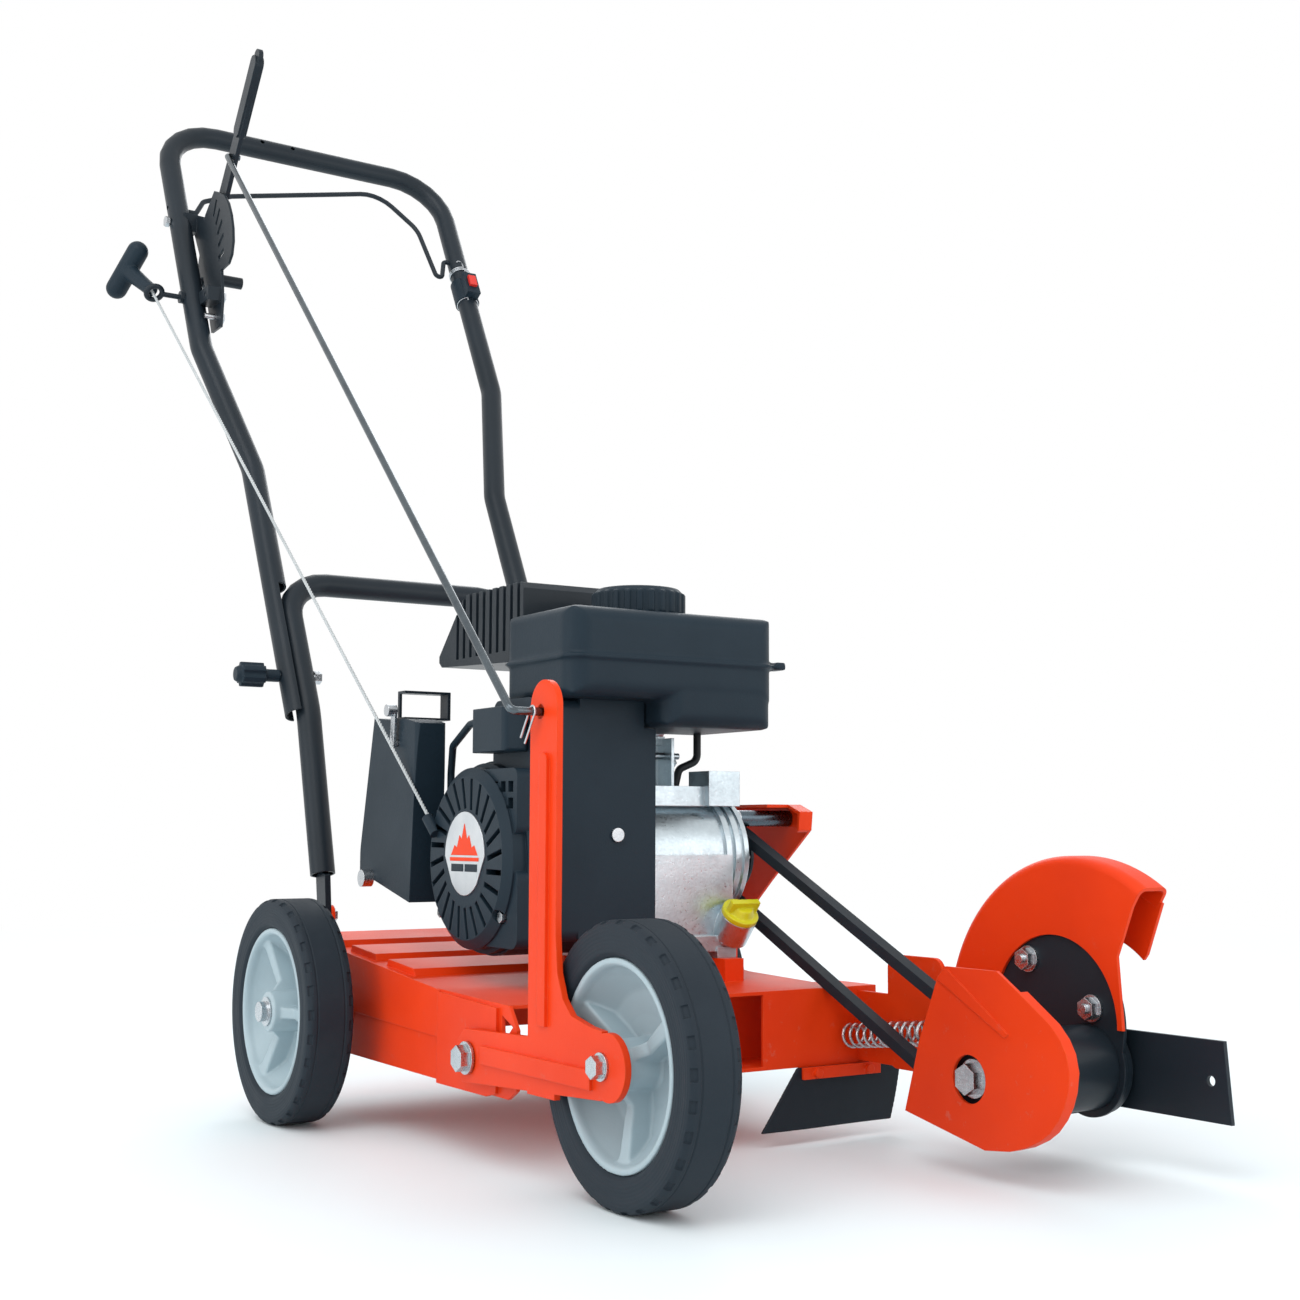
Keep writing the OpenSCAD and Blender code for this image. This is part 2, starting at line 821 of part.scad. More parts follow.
module recoil_cover() {
    color(c_plast)
    difference() {
        union() {
            cyl_y(crank_x, -112, -104, crank_z, 82);
            cyl_y(crank_x, -124, -112, crank_z, 78);
            translate([crank_x, -124, crank_z])
                rotate([90, 0, 0])
                    cylinder(h = 6, r1 = 78, r2 = 70);
            // cooling-air scoop at the lower front and upper front
            plate_y(-122, -104) {
                rrect(crank_x + 10, 168, crank_x + 82, 234, 10);
                rrect(crank_x + 6, 262, crank_x + 80, 318, 8);
            }
            translate([rope_x - 4, -124, rope_z - 18])
                cube([26, 20, 26]);
            translate([rope_x, rope_y, rope_z])
                along_rope()
                    translate([0, 0, -18])
                        cylinder(h = 20, r = 5);
        }
        translate([rope_x, rope_y, rope_z])
            along_rope()
                translate([0, 0, -8])
                    cylinder(h = 16, r = 1.75 + run);
        cyl_y(crank_x, -121, -103, crank_z, 66);
        // seats of the two cover bolts
        for (x = [crank_x - 58, crank_x + 58])
            cyl_y(x, -132, -121, 194, 6);
        for (i = [0:23])
            translate([crank_x, -119, crank_z])
                rotate([90, i * 15, 0])
                    translate([43, -2, -1])
                        rotate([0, 0, 14])
                            cube([27, 4.6, 14]);
        for (i = [0:2])
            for (j = [0:1])
                translate([crank_x + 36 + i * 14, -124, 284 + j * 14])
                    cube([9, 30, 9]);
    }
}

// plain shield-shaped badge, no marking
module recoil_badge() {
    color([0.86, 0.88, 0.90])
        translate([crank_x + 1, 0, crank_z + 2])
            plate_y(-131.2, -130)
                polygon(concat([for (a = [0:10:180]) [38 * cos(a), 38 * sin(a)]],
                    [for (a = [230:10:310]) [46 * cos(a) / cos(50) * 0.52, 12 + 46 * sin(a)]]));
}

module rounded_block(x0, x1, y0, y1, z0, z1, r) {
    intersection() {
        plate_y(y0, y1)
            rrect(x0, z0, x1, z1, r);
        translate([0, 0, z0])
            linear_extrude(z1 - z0)
                rrect(x0, y0, x1, y1, r * 1.4);
        translate([x0 - 1, 0, 0])
            rotate([90, 0, 90])
                linear_extrude(x1 - x0 + 2)
                    rrect(y0 - 1, z0, y1 + 1, z1, r * 0.85);
    }
}

module fuel_tank() {
    color(c_plast)
    difference() {
        union() {
            rounded_block(178, 306, -88, 122, tank_base, 455, 14);
            translate([0, 0, 410])
                linear_extrude(3)
                    rrect(175, -91, 309, 125, 20);
            rounded_block(179, 305, 6, 121, tank_low, 430, 13);
            translate([240, 16, 448])
                cylinder(h = 13, r = 29);
            translate([288, 122, 409])
                cube([18, 10, 7]);
        }
        translate([240, 16, 400])
            cylinder(h = 80, r = 23);
    }
}

module fuel_cap() {
    color(c_plast)
        translate([240, 16, 0])
            difference() {
                union() {
                    translate([0, 0, 455.2])
                        cylinder(h = 21, r = 40);
                    translate([0, 0, 476.2])
                        cylinder(h = 4, r1 = 40, r2 = 36);
                    for (i = [0:23])
                        rotate([0, 0, i * 15])
                            translate([38, -2.5, 457])
                                cube([4, 5, 19]);
                }
                translate([0, 0, 454])
                    cylinder(h = 9, r = 29 + run);
            }
}

module muffler_cover() {
    color(c_black)
    difference() {
        union() {
            plate_y(-62, 60)
                polygon([[44, 488], [50, 491], [162, 491], [168, 485], [168, 418], [-2, 425],
                    [-8, 430], [-8, 436]]);
            translate([122, 16, 352])
                cube([40, 40, 70]);
        }
        for (i = [0:9])
            translate([30 + i * 14, -64, 430])
                cube([6, 5, 70]);
        for (i = [0:5])
            translate([18, -50 + i * 18, 457])
                rotate([0, -46.7, 0])
                    translate([-28, 0, -1])
                        cube([56, 8, 4]);
        for (i = [0:7])
            translate([58 + i * 14, -60, 487])
                cube([6, 30, 6]);
        // the stub rests on the cylinder head
        translate([crank_x, 0, crank_z])
            rotate([0, -38, 0])
                translate([-50, -12, 40])
                    cube([100, 108, 116]);
    }
}

module air_box() {
    color(c_plast)
        union() {
            intersection() {
                translate([0, 0, 190])
                    linear_extrude(190)
                        rrect(-26, -136, 107, -106, 7);
                plate_y(-140, -60)
                    polygon([[9, 372], [50, 368], [80, 368], [106, 363], [94, 201], [-25, 228]]);
            }
            difference() {
                translate([22, -107, 228])
                    cube([96, 46, 58]);
                cyl_y(crank_x, -140, -50, crank_z, 84 + run);
            }
        }
}

module choke_bracket() {
    color(c_black) {
        translate([58, -134, 392])
            cube([16, 46, 2.4]);
        translate([58, -91, 368])
            cube([16, 3, 25]);
        translate([58, -134, 368])
            cube([4, 2.4, 25]);
        translate([54, -134, 368])
            cube([20, 46, 2]);
    }
}

module choke_lever() {
    color(c_zinc) {
        cyl_y(62, -141.5, -136 - run, 346, 3.5);
        plate_y(-141.5, -139)
            polygon([[58, 344], [66, 344], [69, 376], [60, 376]]);
        cyl_y(64, -148, -139, 376, 5.5);
    }
}

module governor_plate() {
    color(c_alu) {
        translate([190, 30, 306])
            cube([38, 3, 46]);
        translate([190, 64, 306])
            cube([30, 3, 44]);
        translate([190, 33, 306])
            cube([6, 31, 40]);
        translate([200, 30, 344])
            cube([4, 37, 8]);
        cyl_y(206, 20, 80, 334, 3);
    }
}

module fuel_hose() {
    color(c_plast)
        sweep([[214, 96, tank_low - 0.1], [214, 96, 330], [214, 76, 322], [214, 72, 307]], [0, 9, 8, 0],
            3.6, up = [1, 0, 0], n = 16);
}

module ignition_box() {
    color(c_plast) {
        rounded_block(199, 262, -128, -104, 332, 370, 4);
        sweep([[202, -116, 362], [165, -112, 359], [116, -105, 342], [98, -98, 318],
            [98, -98, 286.1]], 12, 3.4, up = [0, 1, 0], n = 12);
    }
}

module engine_bolts() {
    color(c_zinc) {
        for (a = [0:60:300])
            translate([crank_x, 0, crank_z])
                rotate([0, a, 0])
                    translate([48, 130, 0])
                        rotate([-90, 0, 0])
                            cylinder(h = 2.6, r = 4.5, $fn = 6);
        translate([shroud_x, -23, 262])
            rotate([0, 90, 0])
                cylinder(h = 2.5, r = 6);
        translate([shroud_x - 8, -23, 262])
            rotate([0, 90, 0])
                cylinder(h = 8, r = 2.6);
        cyl_y(stand_x, 126, 192, stand_z, stand_r);
        for (x = [crank_x - 58, crank_x + 58])
            hex_y(x, -126, -121, 194, 5);
        // wing knob under the air box
        cyl_y(6, -146, -136, 221, 8);
    }
}

// ---------- belt drive ----------
module pulley(r_f) {
    cyl_y(0, belt_y - 9, belt_y + 9, 0, pul_r - run);
    cyl_y(0, belt_y - 9, belt_y - belt_w / 2 - run, 0, r_f);
    cyl_y(0, belt_y + belt_w / 2 + run, belt_y + 9, 0, r_f);
}

module drive_pulley() {
    color(c_black)
        translate([crank_x, 0, crank_z]) {
            pulley(32);
            cyl_y(0, 121, belt_y - 8, 0, shaft_r);
            hex_y(0, belt_y + 7, belt_y + 15, 0, 8);
        }
}

module belt_loop() {
    dx = spindle_x - crank_x;
    dz = spindle_z - crank_z;
    len = sqrt(dx * dx + dz * dz);
    translate([crank_x, 0, crank_z])
        rotate([0, -atan2(dz, dx), 0])
            plate_y(belt_y - belt_w / 2, belt_y + belt_w / 2)
                difference() {
                    union() {
                        circle(pul_r + 9);
                        translate([len, 0])
                            circle(pul_r + 9);
                        translate([0, -pul_r - 9])
                            square([len, 2 * pul_r + 18]);
                    }
                    circle(pul_r);
                    translate([len, 0])
                        circle(pul_r);
                    translate([0, -pul_r])
                        square([len, 2 * pul_r]);
                }
}

module drive_belt() {
    color([0.09, 0.10, 0.11])
        belt_loop();
}

module belt_guard() {
    color(c_orange)
    difference() {
        union() {
            plate_y(192, 195)
                polygon([[104, 120], [104, 146], [96, 156], [96, 284], [104, 290], [241, 290],
                    [260, 283], [258, 266], [196, 218], [150, 180], [136, 172], [136, 120]]);
            plate_y(156, 192)
                polygon([[104, 287], [104, 290], [241, 290], [241, 287]]);
            plate_y(158, 192)
                polygon([[96, 150], [96, 284], [99, 284], [99, 150]]);
            plate_y(180, 192)
                polygon([[241, 290], [260, 283], [258, 266], [255, 264], [256, 281], [241, 287]]);
            translate([104, half_w, 120])
                cube([32, 35, 3]);
            translate([104, half_w, 92])
                cube([32, 3, 30]);
        }
        cyl_y(stand_x, 180, 200, stand_z, 3);
    }
}

module belt_cover() {
    color(c_orange)
    difference() {
        union() {
            plate_y(124, 127)
                polygon([[475, 43], [493, 100], [516, 152], [524, 160], [583, 160], [606, 146],
                    [639, 125], [649, 115], [655, 105], [658, 92], [656, 78], [652, 67],
                    [646, 57], [637, 47], [627, 40], [612, 33], [595, 28], [568, 25]]);
            // turned-in rim
            plate_y(127, 134)
                difference() {
                    polygon([[475, 43], [568, 25], [595, 28], [612, 33], [627, 40], [637, 47],
                        [646, 57], [652, 67], [656, 78], [658, 92], [655, 105], [649, 115],
                        [639, 125], [606, 146]]);
                    polygon([[470, 47], [568, 28], [594, 31], [610, 36], [625, 43], [634, 49.5],
                        [643, 59], [649, 68.5], [653, 79], [655, 92], [652, 103.5], [646.5, 113],
                        [637, 122], [600, 146]]);
                }
            // strap back to the head plate
            translate([514, 127, 142])
                cube([10, 49, 3]);
            translate([514, 173, 100])
                cube([10, 3, 45]);
            // diagonal crease
            plate_y(122.6, 124)
                polygon([[516, 150], [524, 158], [528, 158], [596, 114], [592, 111]]);
        }
        plate_y(120, 130)
            translate([spindle_x + 1, spindle_z])
                circle(18.5);
    }
}

module spindle_housing() {
    color(c_black)
    difference() {
        union() {
            cyl_y(spindle_x, 166, 184, spindle_z, 26);
            cyl_y(spindle_x, 184, 256, spindle_z, 34);
            cyl_y(spindle_x, 192, 198, spindle_z, 37);
        }
        cyl_y(spindle_x, 160, 260, spindle_z, shaft_r + run);
    }
}

module blade_pulley() {
    color(c_black)
        translate([spindle_x, 0, spindle_z])
            difference() {
                pulley(32);
                cyl_y(0, 100, 200, 0, shaft_r);
            }
}

module blade_spindle() {
    color(c_zinc)
        translate([spindle_x, 0, spindle_z]) {
            cyl_y(0, 131, 288, 0, shaft_r);
            cyl_y(0, 129, 131, 0, 15);
            hex_y(0, 120, 129, 0, 12);
            hex_y(0, 278, 286, 0, 14);
            cyl_y(0, 273.75, 278, 0, 22);
        }
}

module blade_flange() {
    color(c_black)
        translate([spindle_x, 0, spindle_z])
            difference() {
                union() {
                    cyl_y(0, 257, 264, 0, 38);
                    cyl_y(0, 264, 270.25, 0, 30);
                }
                cyl_y(0, 240, 290, 0, shaft_r);
            }
}

module blade() {
    color(c_black)
        translate([spindle_x, 0, spindle_z])
            difference() {
                plate_y(blade_y - blade_t / 2, blade_y + blade_t / 2)
                    polygon([[-blade_len / 2, -blade_w / 2], [blade_len / 2 + 3, -blade_w / 2],
                        [blade_len / 2 - 3, blade_w / 2], [-blade_len / 2 - 6, blade_w / 2]]);
                cyl_y(0, 260, 290, 0, shaft_r);
                for (x = [-blade_len / 2 + 16, blade_len / 2 - 16])
                    cyl_y(x, 260, 290, 0, 4);
            }
}

module guard_arc(r0, r1, a0, a1) {
    difference() {
        intersection() {
            circle(r1);
            polygon([[0, 0], [cos(a0), sin(a0)] * 400, [cos((a0 + a1) / 2), sin((a0 + a1) / 2)] * 400,
                [cos(a1), sin(a1)] * 400]);
        }
        circle(r0);
    }
}

// folded edge of the hood: a channel with rounded bends, swept round the hood centre
module guard_rim() {
    translate([hood_x, guard_y, hood_z])
        rotate([90, 0, 0])
            rotate([0, 0, 57])
                rotate_extrude(angle = 103)
                    intersection() {
                        difference() {
                            rrect(100, -33, hood_r, 0, 8);
                            rrect(90, -29.8, hood_r - 3.2, -3.2, 5);
                        }
                        translate([hood_r - 20, -40])
                            square([40, 50]);
                    }
}

module blade_guard() {
    color(c_orange) {
        plate_y(guard_y, guard_y + 3)
            difference() {
                intersection() {
                    translate([hood_x, hood_z])
                        circle(hood_r - 14);
                    polygon([[372, 143], [372, 300], [618, 300], [607, 215], [593, 182],
                        [586, 166], [591, 108], [577, 108], [546, 143]]);
                }
                translate([disc_x, disc_z])
                    circle(70.6);
            }
        guard_rim();
        plate_y(guard_y + 30, guard_y + 33)
            difference() {
                translate([hood_x, hood_z])
                    guard_arc(87, hood_r - 14, 50.5, 150);
                polygon([[587.5, 160], [660, 160], [660, 270], [630, 265]]);
            }
    }
}

module guard_plate() {
    color(c_black)
    difference() {
        plate_y(guard_y + 3, guard_y + 6) {
            translate([disc_x, disc_z])
                circle(75);
            translate([spindle_x, spindle_z])
                circle(40);
        }
        cyl_y(spindle_x, 200, 300, spindle_z, 34);
        for (p = guard_holes)
            cyl_y(p[0], 200, 300, p[1], 4);
    }
}

module guard_nuts() {
    color(c_zinc)
    for (p = guard_holes) {
        cyl_y(p[0], guard_y - 9, guard_y + 9, p[1], 4);
        cyl_y(p[0], guard_y + 1, guard_y + 3, p[1], 11);
        hex_y(p[0], guard_y - 6, guard_y + 1, p[1], 9);
        hex_y(p[0], guard_y + 6, guard_y + 9, p[1], 9);
    }
}

// zinc coil spring, swept as one closed tube
spring_n = 11;
spring_k = 20;
spring_m = 8;
spring_x0 = 354;
spring_x1 = 462;

module head_spring() {
    total = spring_n * spring_k;
    pts = [for (i = [0:total])
        for (j = [0:spring_m - 1])
            let (t = i * 360 / spring_k,
                x = spring_x0 + (spring_x1 - spring_x0) * i / total,
                q = 9.6 + 1.5 * cos(j * 360 / spring_m))
            [x + 1.5 * sin(j * 360 / spring_m), 162 + q * cos(t),
                88 + 12 * i / total + q * sin(t)]];
    faces = concat(
        [for (i = [0:total - 1])
            for (j = [0:spring_m - 1])
                [i * spring_m + j, i * spring_m + (j + 1) % spring_m,
                    (i + 1) * spring_m + (j + 1) % spring_m, (i + 1) * spring_m + j]],
        [[for (j = [0:spring_m - 1]) spring_m - 1 - j]],
        [[for (j = [0:spring_m - 1]) total * spring_m + j]]);
    color(c_zinc)
        polyhedron(points = pts, faces = faces);
}

module debris_flap() {
    color([0.14, 0.17, 0.19])
        difference() {
            translate([350, 0, 0])
                rotate([90, 0, 90])
                    linear_extrude(3)
                        polygon([[108, 64], [222, 64], [212, 12], [70, 12]]);
            for (y = [126, 182])
                translate([346, y, 59])
                    rotate([0, 90, 0])
                        cylinder(h = 14, r = 4);
        }
}

// strip and screws that hold the flap, part of the chassis
module flap_clamp() {
    translate([353.1, 112, 54])
        cube([3, 84, 10]);
    for (y = [126, 182])
        translate([346, y, 59])
            rotate([0, 90, 0])
                cylinder(h = 14, r = 4);
    translate([347, 112, 54])
        cube([3, 84, 12]);
}

// ---------- placing ----------
module rim_rear_right() {
    color(c_rim)
        at_wheel(0, -rear_track / 2)
            rim_shape();
}

module tyre_rear_right() {
    color(c_tyre)
        at_wheel(0, -rear_track / 2)
            tyre_shape();
}

module rim_rear_left() {
    color(c_rim)
        at_wheel(0, rear_track / 2)
            rim_shape();
}

module tyre_rear_left() {
    color(c_tyre)
        at_wheel(0, rear_track / 2)
            tyre_shape();
}

module rim_front() {
    color(c_rim)
        at_wheel(wheelbase, front_y)
            rim_shape();
}

module tyre_front() {
    color(c_tyre)
        at_wheel(wheelbase, front_y)
            tyre_shape();
}

module clamp_knob_right() {
    clamp_knob(-1);
}

module clamp_knob_left() {
    clamp_knob(1);
}

translate([origin_x, origin_y, 0]) chassis();
translate([origin_x, origin_y, 0]) head_bracket();
translate([origin_x, origin_y, 0]) axle_rear();
translate([origin_x, origin_y, 0]) axle_caps();
translate([origin_x, origin_y, 0]) rim_rear_right();
translate([origin_x, origin_y, 0]) tyre_rear_right();
translate([origin_x, origin_y, 0]) rim_rear_left();
translate([origin_x, origin_y, 0]) tyre_rear_left();
translate([origin_x, origin_y, 0]) rim_front();
translate([origin_x, origin_y, 0]) tyre_front();
translate([origin_x, origin_y, 0]) depth_arm();
translate([origin_x, origin_y, 0]) arm_pivot_bolt();
translate([origin_x, origin_y, 0]) front_axle();
translate([origin_x, origin_y, 0]) control_rod();
translate([origin_x, origin_y, 0]) rod_clip();
translate([origin_x, origin_y, 0]) depth_lever();
translate([origin_x, origin_y, 0]) lever_quadrant();
translate([origin_x, origin_y, 0]) quadrant_bolts();
translate([origin_x, origin_y, 0]) handle_lower();
translate([origin_x, origin_y, 0]) foot_bolts();
translate([origin_x, origin_y, 0]) handle_upper();
translate([origin_x, origin_y, 0]) clamp_bolts();
translate([origin_x, origin_y, 0]) clamp_knob_right();
translate([origin_x, origin_y, 0]) clamp_knob_left();
translate([origin_x, origin_y, 0]) bail();
translate([origin_x, origin_y, 0]) bail_spring();
translate([origin_x, origin_y, 0]) stop_switch();
translate([origin_x, origin_y, 0]) stop_button();
translate([origin_x, origin_y, 0]) rope_guide();
translate([origin_x, origin_y, 0]) starter_grip();
translate([origin_x, origin_y, 0]) starter_rope();
translate([origin_x, origin_y, 0]) engine_block();
translate([origin_x, origin_y, 0]) blower_housing();
translate([origin_x, origin_y, 0]) recoil_cover();
translate([origin_x, origin_y, 0]) recoil_badge();
translate([origin_x, origin_y, 0]) fuel_tank();
translate([origin_x, origin_y, 0]) fuel_cap();
translate([origin_x, origin_y, 0]) muffler_cover();
translate([origin_x, origin_y, 0]) air_box();
translate([origin_x, origin_y, 0]) choke_bracket();
translate([origin_x, origin_y, 0]) choke_lever();
translate([origin_x, origin_y, 0]) governor_plate();
translate([origin_x, origin_y, 0]) fuel_hose();
translate([origin_x, origin_y, 0]) ignition_box();
translate([origin_x, origin_y, 0]) oil_cap();
translate([origin_x, origin_y, 0]) engine_bolts();
translate([origin_x, origin_y, 0]) drive_pulley();
translate([origin_x, origin_y, 0]) drive_belt();
translate([origin_x, origin_y, 0]) belt_guard();
translate([origin_x, origin_y, 0]) belt_cover();
translate([origin_x, origin_y, 0]) spindle_housing();
translate([origin_x, origin_y, 0]) blade_pulley();
translate([origin_x, origin_y, 0]) blade_spindle();
translate([origin_x, origin_y, 0]) blade_flange();
translate([origin_x, origin_y, 0]) blade();
translate([origin_x, origin_y, 0]) blade_guard();
translate([origin_x, origin_y, 0]) guard_plate();
translate([origin_x, origin_y, 0]) guard_nuts();
translate([origin_x, origin_y, 0]) head_spring();
translate([origin_x, origin_y, 0]) debris_flap();
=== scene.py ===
import json
import math

import bmesh
import bpy
import numpy as np
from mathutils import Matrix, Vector


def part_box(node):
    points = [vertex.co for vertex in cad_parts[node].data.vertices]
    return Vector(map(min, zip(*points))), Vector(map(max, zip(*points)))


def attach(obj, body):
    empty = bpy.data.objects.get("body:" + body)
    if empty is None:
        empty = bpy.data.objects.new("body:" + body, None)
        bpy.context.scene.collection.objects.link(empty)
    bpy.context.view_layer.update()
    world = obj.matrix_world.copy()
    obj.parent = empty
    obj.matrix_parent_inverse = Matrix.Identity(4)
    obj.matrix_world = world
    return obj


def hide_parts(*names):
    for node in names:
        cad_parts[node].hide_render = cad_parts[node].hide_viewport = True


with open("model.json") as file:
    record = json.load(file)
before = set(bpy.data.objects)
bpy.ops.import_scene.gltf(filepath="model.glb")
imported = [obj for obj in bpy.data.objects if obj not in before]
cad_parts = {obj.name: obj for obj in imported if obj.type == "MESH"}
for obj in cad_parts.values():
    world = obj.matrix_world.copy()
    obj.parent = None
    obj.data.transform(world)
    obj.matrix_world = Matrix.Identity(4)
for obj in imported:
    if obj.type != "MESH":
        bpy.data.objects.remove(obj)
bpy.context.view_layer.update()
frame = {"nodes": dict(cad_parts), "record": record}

NODES = frame["nodes"]
RECORD = frame["record"]
BODY_OF = {n: b for b, ns in RECORD["behaviour"]["bodies"].items() for n in ns}
SCENE = bpy.context.scene
RIGHT, AWAY = -1, 1
DUST_TOP = 0.22
RINGS_PER_METRE = 2300.0
SHARP_EDGE = 32


# ---------- materials ----------
def tree(mat):
    mat.use_nodes = True
    nt = mat.node_tree
    nt.nodes.clear()
    return nt


def add(nt, kind, ins=None, **props):
    """A new node; each input is a value or a socket to link from."""
    n = nt.nodes.new(kind)
    for k, v in props.items():
        setattr(n, k, v)
    for k, v in (ins or {}).items():
        if isinstance(v, bpy.types.NodeSocket):
            nt.links.new(v, n.inputs[k])
        else:
            n.inputs[k].default_value = v
    return n


def mixed(nt, fac, a, b):
    """Colour a, or b where fac is 1."""
    m = add(nt, "ShaderNodeMix", data_type="RGBA")
    for i, v in ((0, fac), (6, a), (7, b)):
        if isinstance(v, bpy.types.NodeSocket):
            nt.links.new(v, m.inputs[i])
        else:
            m.inputs[i].default_value = v if i == 0 else (*v, 1)
    return m.outputs[2]


def ramp(nt, fac, a, b, lo=0.0, hi=1.0):
    """Linear map of fac from a..b to lo..hi, held at the ends."""
    ins = {"Value": fac, "From Min": a, "From Max": b, "To Min": lo, "To Max": hi}
    return add(nt, "ShaderNodeMapRange", ins).outputs[0]


def math_node(nt, operation, *values):
    """The result of one math node."""
    return add(nt, "ShaderNodeMath", dict(enumerate(values)), operation=operation).outputs[0]


def noise_at(nt, co, scale, detail=3.0, rough=0.55):
    ins = {"Vector": co, "Scale": scale, "Detail": detail, "Roughness": rough}
    return add(nt, "ShaderNodeTexNoise", ins).outputs["Fac"]


def rounded_normal(nt, edge_r, height, depth, strength):
    """Bump over softened edges, and a mask that is 1 on those edges."""
    soft = add(nt, "ShaderNodeBevel", {"Radius": edge_r}, samples=6).outputs[0]
    ins = {"Strength": strength, "Distance": depth, "Height": height, "Normal": soft}
    bump = add(nt, "ShaderNodeBump", ins)
    flat = add(nt, "ShaderNodeNewGeometry").outputs["Normal"]
    dot = add(nt, "ShaderNodeVectorMath", {0: soft, 1: flat}, operation="DOT_PRODUCT")
    edge = ramp(nt, dot.outputs["Value"], 0.995, 0.80)
    return bump.outputs[0], edge


def finish_mat(nt, color, rough, normal, metal=0.0, coat=0.0, spec=0.5):
    """The surface shader and the material's output."""
    shader = add(nt, "ShaderNodeBsdfPrincipled", {
        "Base Color": color, "Roughness": rough, "Normal": normal, "Metallic": metal,
        "Coat Weight": coat, "Coat Roughness": 0.08, "Specular IOR Level": spec})
    return add(nt, "ShaderNodeOutputMaterial", {"Surface": shader.outputs[0]})


def coat_paint(name, base, shade, rough, grain, depth, edge_tint, coat=0.25, peel=260.0,
               dust=0.0, dust_tint=(0.4, 0.36, 0.3), spec=0.4):
    """Powder coat or moulded skin: orange peel, fine grain, rubbed edges, a little dust low down."""
    mat = bpy.data.materials.new(name)
    nt = tree(mat)
    co = add(nt, "ShaderNodeTexCoord").outputs["Object"]
    broad = noise_at(nt, co, 7.0, 4.0)
    fine = noise_at(nt, co, grain, 2.0)
    skin = noise_at(nt, co, peel, 2.0)
    height = math_node(nt, "ADD", skin, fine)
    normal, edge = rounded_normal(nt, 0.0011, height, depth, 0.5)
    color = mixed(nt, ramp(nt, broad, 0.35, 0.7), base, shade)
    spots = ramp(nt, noise_at(nt, co, 95.0, 5.0, 0.7), 0.62, 0.70)
    rub = math_node(nt, "MULTIPLY", edge, ramp(nt, noise_at(nt, co, 60.0, 4.0), 0.35, 0.7))
    color = mixed(nt, math_node(nt, "MULTIPLY", rub, 0.55), color, edge_tint)
    if dust:
        z = add(nt, "ShaderNodeSeparateXYZ", {0: co}).outputs["Z"]
        low = ramp(nt, z, DUST_TOP, 0.0, 0.0, dust)
        color = mixed(nt, math_node(nt, "MULTIPLY", low, spots), color, dust_tint)
    r = ramp(nt, broad, 0.3, 0.75, rough - 0.05, rough + 0.07)
    finish_mat(nt, color, r, normal, 0.0, coat, spec)
    return mat


def plated(name, base, tint, rough, brushed=(1.0, 1.0, 1.0), scale=500.0, depth=0.00008):
    """Plated or cast metal: fine lay marks stretched along one axis, cloudy tone."""
    mat = bpy.data.materials.new(name)
    nt = tree(mat)
    co = add(nt, "ShaderNodeTexCoord").outputs["Object"]
    lay = add(nt, "ShaderNodeMapping", {"Vector": co, "Scale": brushed}).outputs[0]
    marks = noise_at(nt, lay, scale, 3.0)
    cloud = noise_at(nt, co, 38.0, 4.0, 0.65)
    normal, edge = rounded_normal(nt, 0.0007, marks, depth, 0.6)
    color = mixed(nt, ramp(nt, cloud, 0.35, 0.7), base, tint)
    color = mixed(nt, math_node(nt, "MULTIPLY", edge, 0.4), color, (0.95, 0.95, 0.95))
    finish_mat(nt, color, ramp(nt, marks, 0.3, 0.7, rough - 0.07, rough + 0.09), normal, 1.0)
    return mat


def rubber(name, base, shade, rough=0.62, scale=900.0, depth=0.00018, rings=None):
    """Matt rubber: pores, scuffs and, for a tyre, moulded rings round its own axle."""
    mat = bpy.data.materials.new(name)
    nt = tree(mat)
    co = add(nt, "ShaderNodeTexCoord").outputs["Object"]
    pores = noise_at(nt, co, scale, 2.0)
    broad = noise_at(nt, co, 16.0, 5.0, 0.65)
    height = pores
    if rings:
        shift = add(nt, "ShaderNodeMapping", {"Vector": co, "Location": (-rings[0], 0.0, -rings[1])})
        flat = add(nt, "ShaderNodeVectorMath", {0: shift.outputs[0], 1: (1.0, 0.0, 1.0)}, operation="MULTIPLY")
        dist = add(nt, "ShaderNodeVectorMath", {0: flat.outputs[0]}, operation="LENGTH").outputs["Value"]
        ring = math_node(nt, "SINE", math_node(nt, "MULTIPLY", dist, RINGS_PER_METRE))
        height = math_node(nt, "MULTIPLY_ADD", ring, 0.6, pores)
    normal, edge = rounded_normal(nt, 0.001, height, depth, 0.5)
    color = mixed(nt, ramp(nt, broad, 0.4, 0.72), base, shade)
    finish_mat(nt, color, ramp(nt, broad, 0.3, 0.7, rough - 0.06, rough + 0.1), normal, 0.0, 0.0, 0.25)
    return mat


